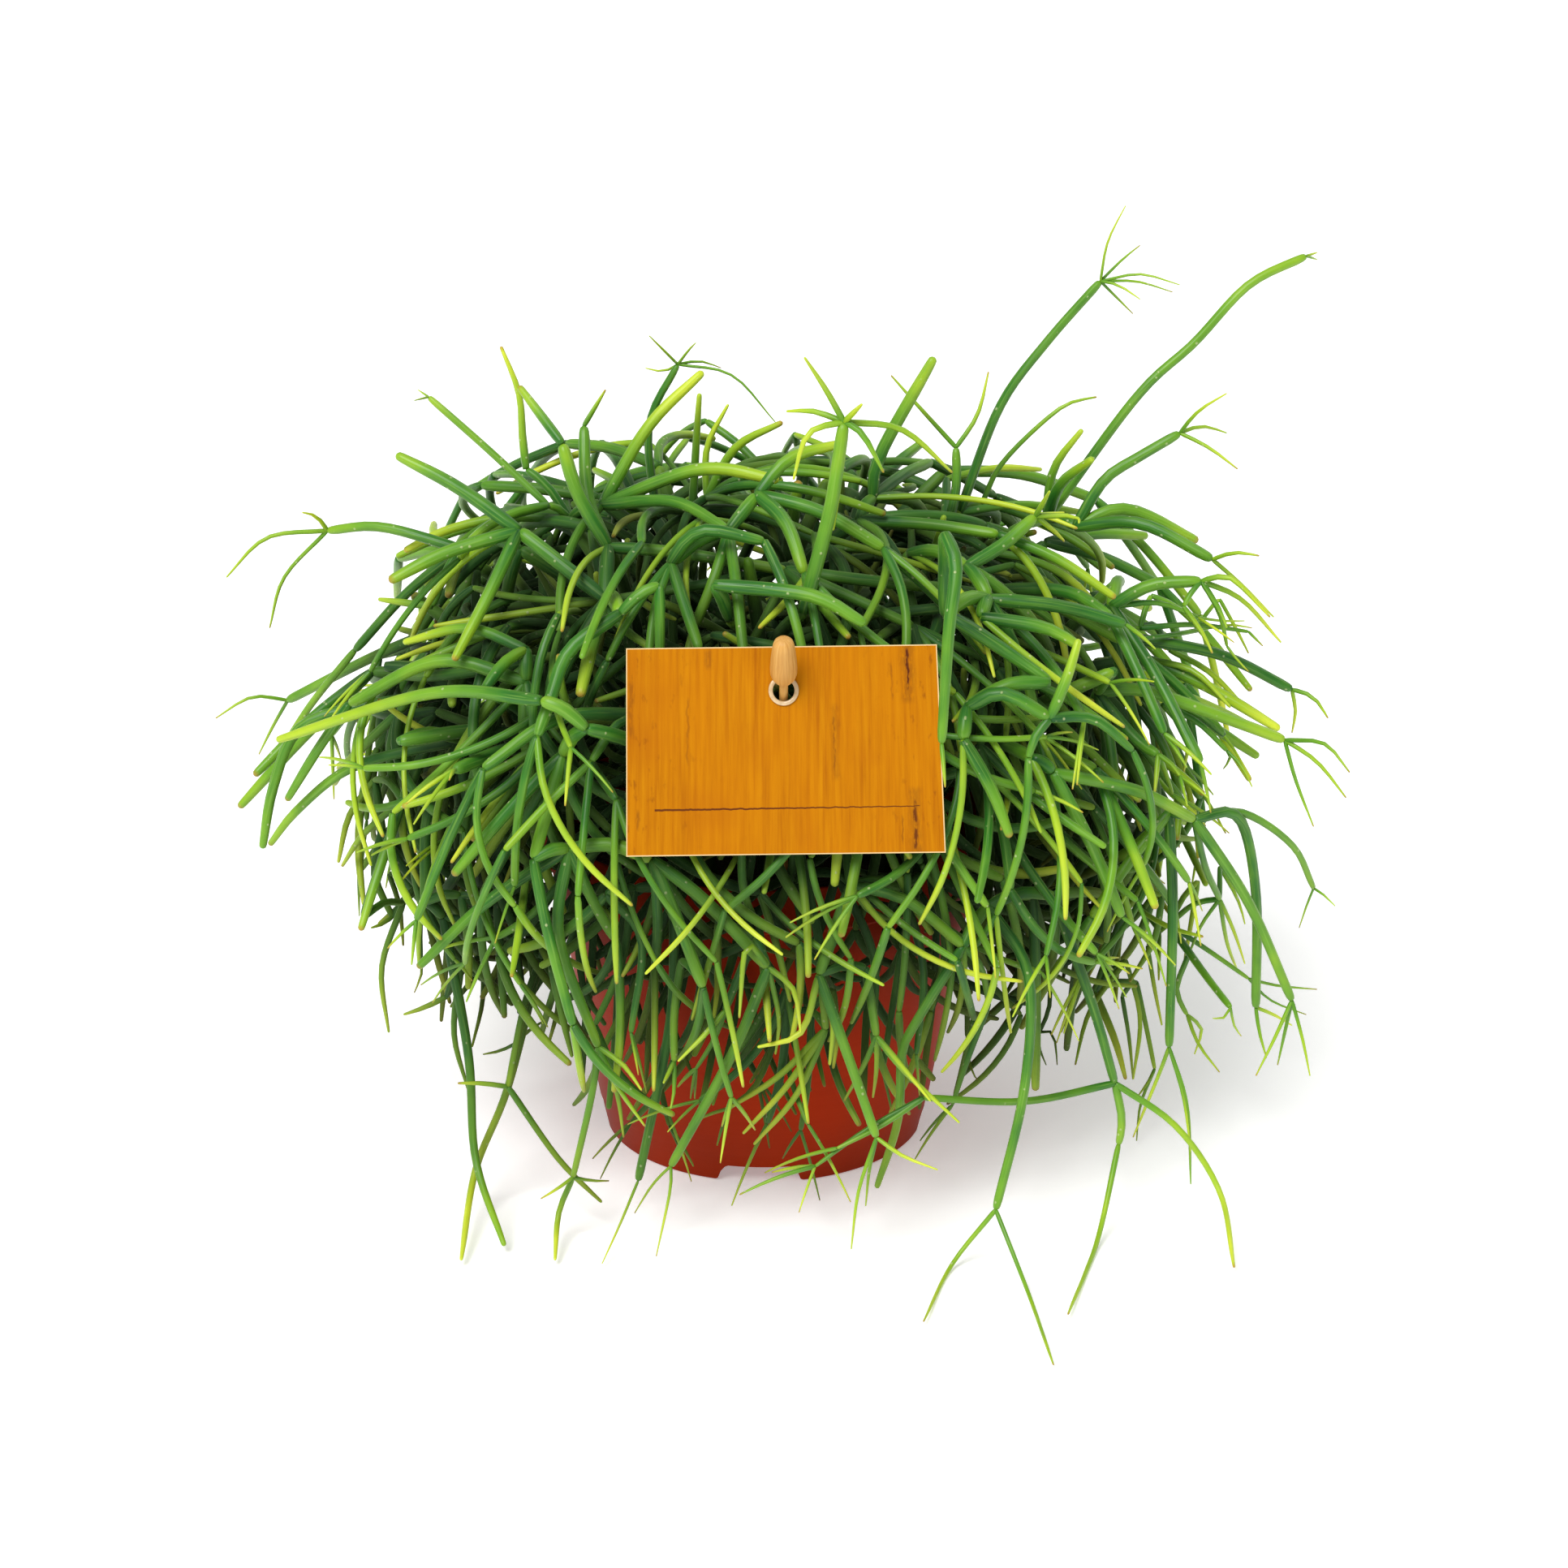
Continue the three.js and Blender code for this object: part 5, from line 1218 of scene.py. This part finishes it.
class Shading:
    """A node material with short calls for its nodes."""

    def __init__(self, name, roughness, **sockets):
        self.material = bpy.data.materials.new(name)
        self.material.use_nodes = True
        self.tree = self.material.node_tree
        self.surface = self.tree.nodes["Principled BSDF"]
        self.surface.inputs["Roughness"].default_value = roughness
        for socket, value in sockets.items():
            self.surface.inputs[socket.replace("_", " ")].default_value = value

    def feed(self, value, socket):
        if isinstance(value, bpy.types.NodeSocket):
            self.tree.links.new(value, socket)
        else:
            socket.default_value = value

    def node(self, kind, inputs, output=0, **settings):
        """Adds a node with its settings, feeds its inputs with values or links and gives one of its outputs."""
        made = self.tree.nodes.new("ShaderNode" + kind)
        for key, value in settings.items():
            setattr(made, key, value)
        for key, value in inputs.items():
            self.feed(value, made.inputs[key])
        return made.outputs[output]

    def attribute(self, name, output="Fac"):
        return self.node("Attribute", {}, output, attribute_name=name)

    def place(self):
        return self.node("TexCoord", {}, "Object")

    def scaled(self, vector, scale, offset=(0, 0, 0)):
        return self.node("Mapping", {"Vector": vector, "Scale": scale, "Location": offset})

    def noise(self, vector, scale, detail=3.0, rough=0.5, twist=0.0):
        inputs = {"Vector": vector, "Scale": scale, "Detail": detail, "Roughness": rough, "Distortion": twist}
        return self.node("TexNoise", inputs, "Fac")

    def cells(self, vector, scale):
        return self.node("TexVoronoi", {"Vector": vector, "Scale": scale}, "Distance")

    def math(self, operation, a, b=0.0, clamp=False):
        return self.node("Math", {0: a, 1: b}, operation=operation, use_clamp=clamp)

    def times(self, a, b):
        return self.math("MULTIPLY", a, b)

    def plus(self, a, b):
        return self.math("ADD", a, b)

    def band(self, value, low, high, to_low=0.0, to_high=1.0):
        inputs = {"Value": value, "From Min": low, "From Max": high, "To Min": to_low, "To Max": to_high}
        return self.node("MapRange", inputs, "Result")

    def blend(self, share, a, b):
        a, b = ((*c, 1) if isinstance(c, tuple) else c for c in (a, b))
        return self.node("Mix", {"Factor": share, 6: a, 7: b}, 2, data_type="RGBA")

    def tint(self, colour, where, low, high, most, other):
        """Blends a colour with another one where a value goes from low to high, by the share `most` at most."""
        return self.blend(self.band(where, low, high, 0.0, most), colour, other)

    def ramp(self, value, stops):
        output = self.node("ValToRGB", {"Fac": value}, "Color")
        band = output.node.color_ramp
        while len(band.elements) < len(stops):
            band.elements.new(1)
        for element, (at, colour) in zip(band.elements, stops):
            element.position = at
            element.color = (*colour, 1)
        return output

    def split(self, vector):
        return self.node("SeparateXYZ", {0: vector}).node.outputs

    def bump(self, height, strength, distance, under=None):
        inputs = {"Strength": strength, "Distance": distance, "Height": height}
        if under:
            inputs["Normal"] = under
        return self.node("Bump", inputs, "Normal")

    def done(self, colour, normal=None, roughness=None):
        for title, value in (("Base Color", colour), ("Normal", normal), ("Roughness", roughness)):
            if value is not None:
                self.feed(value, self.surface.inputs[title])
        return self.material


def stem_material():
    s = Shading("green_stem", 0.39, Specular_IOR_Level=0.33, Sheen_Weight=0.15, Sheen_Roughness=0.4)
    s.surface.inputs["Sheen Tint"].default_value = (0.64, 0.9, 0.36, 1)
    straight = s.attribute("straight", "Vector")
    youth = s.attribute("youth")
    lengthwise = s.noise(s.scaled(straight, (0.9, 0.9, 0.05)), 1.0, 2.0)
    patches = s.noise(s.scaled(straight, (0.12, 0.12, 0.07)), 1.0, 2.0)
    age = s.math("ADD", youth, s.band(patches, 0.3, 0.7, -0.1, 0.1), clamp=True)
    green = s.ramp(
        age,
        [
            (0.0, (0.006, 0.072, 0.009)),
            (0.2, (0.026, 0.155, 0.012)),
            (0.42, (0.14, 0.33, 0.014)),
            (0.66, (0.36, 0.53, 0.018)),
            (1.0, (0.66, 0.73, 0.04)),
        ],
    )
    green = s.tint(green, lengthwise, 0.38, 0.72, 0.34, (0.17, 0.40, 0.03))
    ridges = s.noise(s.scaled(straight, (2.2, 2.2, 0.07)), 1.0, 1.0)
    green = s.tint(green, ridges, 0.56, 0.7, 0.22, (0.34, 0.56, 0.1))
    dots = s.band(s.cells(straight, 0.27), 0.07, 0.13, 1.0, 0.0)
    green = s.blend(s.times(dots, 0.55), green, (0.55, 0.62, 0.3))
    tips = s.attribute("tip")
    green = s.blend(s.times(tips, 0.85), green, (0.42, 0.2, 0.03))
    # painted shade: stems deep inside the plant, and under the crown by the pot's rim, are darkened almost to black
    green = s.tint(green, s.attribute("deep"), 0.05, 0.44, 0.86, (0.004, 0.018, 0.002))
    ribs = s.plus(s.times(lengthwise, 0.7), s.times(dots, 0.5))
    ribs = s.plus(ribs, s.times(ridges, 0.3))
    dull = s.band(s.attribute("deep"), 0.1, 0.5, 0.39, 0.85)
    return s.done(green, s.bump(ribs, 0.45, 0.0005), dull)


def pot_material():
    s = Shading("pot_plastic", 0.5, Specular_IOR_Level=0.04)
    place = s.place()
    haze = s.noise(place, 22, 4)
    fine = s.noise(place, 420, 2)
    colour = s.ramp(haze, [(0.3, (0.27, 0.016, 0.001)), (0.7, (0.36, 0.023, 0.0015))])
    height = s.split(place)[2]
    # Turning marks of the mould run round the wall.
    marks = s.noise(s.scaled(place, (3, 3, 900)), 1.0, 2)
    colour = s.tint(colour, marks, 0.45, 0.75, 0.12, (0.46, 0.04, 0.006))
    # browner and darker towards the bottom of the pot
    darker_low = s.band(s.plus(height, s.band(haze, 0.3, 0.7, -0.01, 0.01)), 0.03, 0.0, 0.0, 0.25)
    colour = s.blend(darker_low, colour, (0.22, 0.03, 0.01))
    rough = s.band(haze, 0.3, 0.7, 0.38, 0.55)
    bump = s.bump(fine, 0.08, 0.0002, s.bump(marks, 0.06, 0.0003))
    return s.done(colour, bump, rough)


def soil_material():
    s = Shading("potting_soil", 0.95, Specular_IOR_Level=0.2)
    place = s.place()
    crumbs = s.noise(place, 260, 6, 0.7)
    fibres = s.noise(s.scaled(place, (1, 5, 1)), 160, 3, 0.6, 1.5)
    colour = s.ramp(crumbs, [(0.3, (0.008, 0.005, 0.003)), (0.55, (0.03, 0.018, 0.01)), (0.8, (0.1, 0.06, 0.03))])
    colour = s.tint(colour, fibres, 0.62, 0.75, 0.6, (0.16, 0.09, 0.04))
    return s.done(colour, s.bump(crumbs, 0.9, 0.002))


PAPER_MARGIN = 0.28


def card_material():
    """Orange print of wood with upright grain, brown spots, cracks and a ruled line, on paper with a pale edge."""
    s = Shading("printed_card", 0.6, Specular_IOR_Level=0.05)
    print_at = s.attribute("print", "Vector")
    across, up, _ = s.split(print_at)
    grain = s.noise(s.scaled(print_at, (0.9, 0.035, 1)), 1.0, 5, 0.62)
    broad = s.noise(s.scaled(print_at, (0.13, 0.02, 1)), 1.0, 3)
    cloud = s.noise(s.scaled(print_at, (0.04, 0.05, 1), (3, 7, 0)), 1.0, 2)
    colour = s.ramp(grain, [(0.3, (0.36, 0.104, 0.001)), (0.5, (0.46, 0.156, 0.001)), (0.72, (0.54, 0.208, 0.002))])
    colour = s.tint(colour, broad, 0.35, 0.7, 0.55, (0.54, 0.183, 0.001))
    colour = s.tint(colour, cloud, 0.5, 0.75, 0.5, (0.4, 0.112, 0.002))
    spots = s.noise(s.scaled(print_at, (0.5, 0.2, 1), (11, 2, 0)), 1.0, 3, 0.6)
    by_side = s.band(s.math("ABSOLUTE", across), 18, 36, 0.12, 1.0)
    colour = s.blend(s.times(s.band(spots, 0.6, 0.74, 0.0, 0.62), by_side), colour, (0.2, 0.045, 0.003))
    colour = s.blend(card_ink(s, across, up), colour, (0.10, 0.022, 0.006))
    beside = s.math("SUBTRACT", s.math("ABSOLUTE", across), CARD.width / 2 - PAPER_MARGIN)
    above = s.math("SUBTRACT", s.math("ABSOLUTE", up), CARD.height / 2 - PAPER_MARGIN)
    colour = s.blend(s.math("GREATER_THAN", s.math("MAXIMUM", beside, above), 0.0), colour, (0.72, 0.52, 0.26))
    return s.done(colour, s.bump(s.noise(s.place(), 900, 2), 0.05, 0.0002))


def eyelet_material():
    s = Shading("pale_eyelet", 0.22, Specular_IOR_Level=0.6)
    cloud = s.noise(s.place(), 600, 3)
    colour = s.ramp(cloud, [(0.3, (0.5, 0.34, 0.17)), (0.7, (0.68, 0.5, 0.29))])
    return s.done(colour, s.bump(cloud, 0.1, 0.0002))


def wood_material():
    s = Shading("pale_wood", 0.5, Specular_IOR_Level=0.35)
    along = s.attribute("straight", "Vector")
    grain = s.noise(s.scaled(along, (1.6, 1.6, 0.08)), 1.0, 4, 0.6)
    flecks = s.noise(s.scaled(along, (5, 5, 0.5)), 1.0, 2)
    colour = s.ramp(grain, [(0.3, (0.5, 0.23, 0.045)), (0.55, (0.64, 0.335, 0.08)), (0.75, (0.74, 0.46, 0.15))])
    colour = s.tint(colour, flecks, 0.6, 0.72, 0.3, (0.5, 0.28, 0.1))
    return s.done(colour, s.bump(grain, 0.25, 0.0004))


# ---------------------------------------------------------------- pieces


def settle(piece, node):
    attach(piece, "root")
    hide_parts(node)


def add_piece(mesh, name, material, node):
    mesh.materials.append(material)
    settle(add_object(name, mesh), node)


def in_metres(x, y, z):
    return (x * MM, y * MM, z * MM)


ON_AXIS = 1e-6


def lathe(name, profile, around, place=in_metres, closed=False):
    """A mesh about an axis from (radius, height) pairs; a pair on the axis becomes one corner.

    `place` says where a point goes, and a closed profile runs on from its last pair to its first.
    """
    verts, faces, rings = [], [], []
    for r, z in profile:
        count = 1 if r < ON_AXIS else around
        rings.append(list(range(len(verts), len(verts) + count)))
        for k in range(count):
            turn = 2 * math.pi * k / around
            verts.append(place(r * math.cos(turn), r * math.sin(turn), z))
    for low, high in zip(rings, rings[1:] + rings[:1] * closed):
        for k in range(around):
            n = (k + 1) % around
            if len(low) == 1 and len(high) == 1:
                break
            if len(low) == 1:
                faces.append((low[0], high[n], high[k]))
            elif len(high) == 1:
                faces.append((low[k], low[n], high[0]))
            else:
                faces.append((low[k], low[n], high[n], high[k]))
    return new_mesh(name, verts, faces, smooth=True)


def cut_away(piece, cutters):
    """Cuts the cutters out of a piece and keeps the result as its mesh."""
    for one in cutters:
        step = piece.modifiers.new("cut", "BOOLEAN")
        step.operation = "DIFFERENCE"
        step.solver = "EXACT"
        step.object = one
    graph = bpy.context.evaluated_depsgraph_get()
    mesh = bpy.data.meshes.new_from_object(piece.evaluated_get(graph))
    piece.modifiers.clear()
    old = piece.data
    piece.data = mesh
    mesh.name = old.name
    for one in cutters:
        bpy.data.objects.remove(one)


ARC_SPANS = 5


def round_off(profile, at, radius):
    """Replaces the corner at an index of a profile with an arc."""
    before, corner, after = (np.array(profile[at + k], float) for k in (-1, 0, 1))
    a, b = before - corner, after - corner
    ra, rb = min(radius, np.linalg.norm(a) / 2), min(radius, np.linalg.norm(b) / 2)
    start, end = corner + a / np.linalg.norm(a) * ra, corner + b / np.linalg.norm(b) * rb
    arc = []
    for i in range(ARC_SPANS + 1):
        t = i / ARC_SPANS
        arc.append(tuple((1 - t) ** 2 * start + 2 * t * (1 - t) * corner + t * t * end))
    return profile[:at] + arc + profile[at + 1 :]


# Pot.
band_foot = POT_HEIGHT - BAND_HEIGHT
floor_top = FOOT_HEIGHT + FLOOR_THICK


def inner_at(z):
    return outer_at(z) - POT_WALL


pot_profile = [
    (0, FOOT_HEIGHT),
    (FOOT_RADIUS - FOOT_WIDTH, FOOT_HEIGHT),
    (FOOT_RADIUS - FOOT_WIDTH, 0),
    (FOOT_RADIUS, 0),
    (outer_at(STEP_HEIGHT), STEP_HEIGHT),
    (outer_at(STEP_HEIGHT) + STEP_OUT, STEP_HEIGHT + STEP_OUT),
    (outer_at(band_foot) + STEP_OUT, band_foot),
    (RIM_RADIUS - 0.6, band_foot + 0.4),
    (RIM_RADIUS, POT_HEIGHT),
    (RIM_RADIUS - POT_WALL, POT_HEIGHT),
    (inner_at(band_foot), band_foot - POT_WALL),
    (inner_at(floor_top), floor_top),
    (0, floor_top),
]
for at, radius in ((11, 1.5), (9, 0.6), (8, 0.7), (7, 0.8), (6, 0.5), (3, 0.8), (2, 0.4)):
    pot_profile = round_off(pot_profile, at, radius)
pot = add_object("pot_body", lathe("pot_body", pot_profile, 160))


def notch_mesh(turn):
    half_low, half_high = NOTCH.bottom / 2, NOTCH.top / 2
    height = NOTCH.height + 0.02
    right = [(half_low + 2.2, -1), (half_low + 1.2, 0), (half_low + 0.3, 0.7), (half_low - 0.5, height - 2)]
    right += [(half_high + 0.4, height - 0.5), (half_high - 0.5, height)]
    outline = right + [(-x, z) for x, z in reversed(right)]
    c, s = math.cos(turn), math.sin(turn)
    ends_y = (-FOOT_RADIUS - 4, -FOOT_RADIUS + 7)
    verts = [in_metres(x * c - y * s, x * s + y * c, z) for y in ends_y for x, z in outline]
    n = len(outline)
    faces = [tuple(range(n)), tuple(range(2 * n - 1, n - 1, -1))]
    faces += [(k, k + n, (k + 1) % n + n, (k + 1) % n) for k in range(n)]
    return new_mesh("notch", verts, faces)


def hole_mesh(turn):
    mesh = lathe("drain", [(0, -1), (DRAIN.radius, -1), (DRAIN.radius, 8), (0, 8)], 24)
    x, y = math.cos(turn) * DRAIN.pitch, math.sin(turn) * DRAIN.pitch
    for vertex in mesh.vertices:
        vertex.co.x += x * MM
        vertex.co.y += y * MM
    return mesh


cutters = []
for i in range(NOTCH.count):
    cutters.append(add_object("notch", notch_mesh(2 * math.pi * i / NOTCH.count + rad(NOTCH.turn))))
for i in range(DRAIN.count):
    cutters.append(add_object("drain", hole_mesh(2 * math.pi * (i + 0.5) / DRAIN.count)))
cut_away(pot, cutters)
pot.data.materials.append(pot_material())
pot.data.set_sharp_from_angle(angle=rad(35))
settle(pot, "pot")

# Soil: a crumbly top inside the pot.
soil_edge = inner_at(SOIL_TOP) - 0.5
soil_profile = [(0, floor_top + GAP), (inner_at(floor_top) - 2, floor_top + GAP), (soil_edge, SOIL_TOP - 3)]
SOIL_RINGS = 46
for i in range(SOIL_RINGS + 1):
    share = 1 - i / SOIL_RINGS
    rise = SOIL_DOME * 0.55 * math.cos(share * math.pi / 2) - 2.0 * share**6
    soil_profile.append((max(0, (soil_edge - 0.6) * share), SOIL_TOP - 1.0 + rise))
soil_mesh = lathe("soil_bed", soil_profile, 120)
CRUMB = 0.9  # a crumb's most height
crumb = chance.Random(5)
for vertex in soil_mesh.vertices:
    if vertex.co.z > (SOIL_TOP - 3.5) * MM and math.hypot(vertex.co.x, vertex.co.y) < (soil_edge - 1) * MM:
        vertex.co.z += crumb.uniform(-CRUMB, CRUMB) * MM
add_piece(soil_mesh, "soil_bed", soil_material(), "soil")


# Card.
def card_point(x, up, out):
    """A point of the card's frame: right, up along it and out of its front, from its middle."""
    at = add(add(add(CARD_MIDDLE, (x, 0, 0)), mul(card_up, up)), mul(card_out, out))
    return in_metres(*at)


CUT = Named(rise=0.013, right_top=-1.1, right_low=1.2)


def as_cut(x, up):
    """Where a point of the print lies on the sheet, which was cut a little askew and wider at its lower right."""
    share = max(0, x / (CARD.width / 2))
    drop = 0.5 - up / CARD.height
    return x + share * (CUT.right_top + (CUT.right_low - CUT.right_top) * drop), up + CUT.rise * x


HOLE_SQUARE = 6  # half the square of the grid that is joined to the round hole
CARD_COLUMNS, CARD_ROWS = 41, 27


def ring_round(xs, ys, left, right):
    """The grid's points round a rectangle, from its lower left corner."""
    ring = [(x, ys[0]) for x in xs[:-1]] + [(right, y) for y in ys[:-1]]
    return ring + [(x, ys[-1]) for x in xs[:0:-1]] + [(left, y) for y in ys[:0:-1]]


def card_mesh():
    """A thin sheet with a round hole, on a grid whose front face carries the print's coordinates."""
    half_w, half_h, half_t = CARD.width / 2, CARD.height / 2, CARD.thick / 2
    hole_y, side = CARD.hole_up, HOLE_SQUARE
    columns = np.unique(np.concatenate([np.linspace(-half_w, half_w, CARD_COLUMNS), [-side, side]]))
    rows = np.unique(np.concatenate([np.linspace(-half_h, half_h, CARD_ROWS), [hole_y - side, hole_y + side]]))
    verts, faces, prints = [], [], []
    index = {}

    def corner(x, up, out):
        key = (round(x, 4), round(up, 4), round(out, 4))
        if key not in index:
            index[key] = len(verts)
            verts.append(card_point(*as_cut(x, up), out))
            prints.append((x, up, 1.0 if out > 0 else 0.0))
        return index[key]

    def strip(a, out_a, b, out_b, flip=False):
        """Quads between two rings that have as many points."""
        for k in range(len(a)):
            m = (k + 1) % len(a)
            quad = [corner(*a[k], out_a), corner(*a[m], out_a), corner(*b[m], out_b), corner(*b[k], out_b)]
            faces.append(quad[::-1] if flip else quad)

    for out in (half_t, -half_t):
        for x0, x1 in zip(columns, columns[1:]):
            for y0, y1 in zip(rows, rows[1:]):
                if x0 >= -side and x1 <= side and y0 >= hole_y - side and y1 <= hole_y + side:
                    continue
                quad = [corner(x0, y0, out), corner(x1, y0, out), corner(x1, y1, out), corner(x0, y1, out)]
                faces.append(quad if out > 0 else quad[::-1])
    inside_x = [x for x in columns if -side <= x <= side]
    inside_y = [y for y in rows if hole_y - side <= y <= hole_y + side]
    square = ring_round(inside_x, inside_y, -side, side)
    circle = []
    for x, y in square:
        turn = math.atan2(y - hole_y, x)
        circle.append((CARD.hole_radius * math.cos(turn), hole_y + CARD.hole_radius * math.sin(turn)))
    border = ring_round(columns, rows, -half_w, half_w)
    strip(square, half_t, circle, half_t)
    strip(square, -half_t, circle, -half_t, flip=True)
    strip(circle, half_t, circle, -half_t)
    strip(border, -half_t, border, half_t)
    mesh = new_mesh("card", verts, faces)
    flat = np.array(prints, np.float32).ravel()
    mesh.attributes.new("print", "FLOAT_VECTOR", "POINT").data.foreach_set("vector", flat)
    return mesh


# Upright cracks: their x, from which to which height, their width, seed and darkness.
CRACKS = [
    (31.5, 14, 26, 0.75, 1.0, None), (32.2, -26, -12, 0.7, 2.0, 0.9), (12.6, -6, 10, 0.45, 3.0, 0.5),
    (-24, -4, 14, 0.4, 4.0, 0.3), (27.5, 12, 22, 0.4, 5.0, 0.35), (-36.5, -20, -14, 0.7, 6.0, 0.4),
    (29, -24, -16, 0.35, 7.0, 0.4), (31.6, 11, 27, 2.4, 8.0, 0.34), (32.2, -27, -9, 2.2, 9.0, 0.3),
    (12.9, -8, 12, 1.4, 10.0, 0.22), (-38, 3, 18, 0.9, 11.0, 0.3), (-18.8, 20, 26, 1.3, 12.0, 0.3),
]


def stroke(s, across, up, x, y0, y1, wide, seed):
    """Ink of an upright crack at x, from y0 to y1, that breaks up along its length."""
    wobble = s.noise(s.scaled(s.attribute("print", "Vector"), (0.2, 0.25, 1), (seed, seed, 0)), 1.0, 2)
    at = s.plus(across, s.band(wobble, 0.3, 0.7, -0.35, 0.35))
    off = s.math("ABSOLUTE", s.math("SUBTRACT", at, x))
    near = s.band(off, wide * 0.3, wide, 1.0, 0.0)
    top = s.band(up, y1 - 1.5, y1, 1.0, 0.0)
    low = s.band(up, y0, y0 + 1.5, 0.0, 1.0)
    rough = s.noise(s.scaled(s.attribute("print", "Vector"), (1.4, 0.4, 1), (seed * 3, 1, 0)), 1.0, 3)
    return s.times(s.times(near, s.times(top, low)), s.band(rough, 0.33, 0.5))


def ruled_line(s, across, up):
    """Ink of the ruled line, a little tilted and thinner to the right."""
    line_y = s.plus(s.times(across, 0.004), -14.4)
    wave = s.noise(s.scaled(s.attribute("print", "Vector"), (0.5, 0.0, 1)), 1.0, 3)
    off = s.math("ABSOLUTE", s.math("SUBTRACT", up, s.plus(line_y, s.band(wave, 0.3, 0.7, -0.15, 0.15))))
    line = s.math("LESS_THAN", off, s.band(across, -32, 33, 0.28, 0.12))
    from_left, to_right = s.math("GREATER_THAN", across, -32.2), s.math("LESS_THAN", across, 33.4)
    return s.times(s.times(line, s.times(from_left, to_right)), 0.92)


def card_ink(s, across, up):
    ink = None
    for *crack, dark in CRACKS:
        mark = stroke(s, across, up, *crack)
        if dark:
            mark = s.times(mark, dark)
        ink = s.math("MAXIMUM", ink, mark) if ink else mark
    return s.math("MAXIMUM", ink, ruled_line(s, across, up))


add_piece(card_mesh(), "card_print", card_material(), "label_card")


# Eyelet: a rolled ring through the card's hole.
def rolled_ring():
    half = CARD.thick / 2 + GAP
    outer, inner, barrel = EYELET.outer, EYELET.inner, EYELET.barrel
    flange = EYELET.flange
    profile = [(inner, -half - flange * 0.5), (inner + 0.15, -half - flange), (outer - 0.15, -half - flange)]
    profile += [(outer, -half - flange * 0.5), (outer - 0.1, -half), (barrel, -half + 0.05), (barrel, half - 0.05)]
    profile += [(outer - 0.1, half), (outer, half + flange * 0.5), (outer - 0.15, half + flange)]
    profile += [(inner + 0.35, half + flange), (inner, half + flange * 0.5)]
    return lathe("eyelet_ring", profile, 48, lambda x, y, z: card_point(x, CARD.hole_up + y, z), closed=True)


add_piece(rolled_ring(), "eyelet_ring", eyelet_material(), "eyelet")

# Pin: a turned wooden head on a thin shaft.
HEAD = [
    (2.7, 1.1), (2.9, 1.5), (3.6, 2.15), (4.8, 2.95), (6.2, 3.35), (8.0, 3.42),
    (11.0, 3.25), (14.0, 2.95), (15.8, 2.72), (16.9, 2.4), (17.6, 1.8), (17.9, 1.0),
]
shaft_marks = [-PIN.below + 6, *range(-86, 2, 8), 1.5]
pin_marks = [(-PIN.below, 0.4)] + [(t, PIN.shaft) for t in shaft_marks] + HEAD
pin_line = np.array([on_pin(t) for t, _ in pin_marks])
pin_skin = Skin()
zeros = [0.0] * len(pin_marks)
pin_skin.tube(pin_line, [r for _, r in pin_marks], 28, zeros, zeros, zeros, 0.0)
settle(pin_skin.build("pin_wood", wood_material()), "label_pin")

# Plant.
green = stem_material()
for base, skin in zip(bases, plant_skins):
    number = f"{base.cutting + 1:02d}"
    settle(skin.build("stems_" + number, green), "cutting_" + number)

# ---------------------------------------------------------------- studio


def studio():
    far = 30
    floor = new_mesh("floor", [(-far, -far, 0), (far, -far, 0), (far, far, 0), (-far, far, 0)], [(0, 1, 2, 3)])
    s = Shading("pale_floor", 0.7, Specular_IOR_Level=0.2, Emission_Strength=0.3)
    s.surface.inputs["Emission Color"].default_value = (1, 1, 1, 1)
    floor.materials.append(s.done((0.93, 0.93, 0.92, 1)))
    ground = add_object("studio_floor", floor)
    ground.location.z = -0.0002  # just under the pot's foot
    world = bpy.data.worlds.new("studio")
    world.use_nodes = True
    sky = world.node_tree.nodes["Background"]
    sky.inputs["Color"].default_value = (1, 1, 1, 1)
    sky.inputs["Strength"].default_value = 0.38
    bpy.context.scene.world = world
    # A broad key from the upper left of the front, and a weak one from behind on the right.
    for name, place, strength, softness in (("key", (-0.5, -0.9, 1.25), 2.95, 30), ("rim", (0.8, 0.9, 1.0), 0.5, 40)):
        lamp = bpy.data.lights.new(name, "SUN")
        lamp.energy = strength
        lamp.angle = math.radians(softness)
        add_object(name, lamp).rotation_euler = Vector(place).to_track_quat("Z", "Y").to_euler()


studio()
bpy.context.scene.view_settings.view_transform = "Standard"
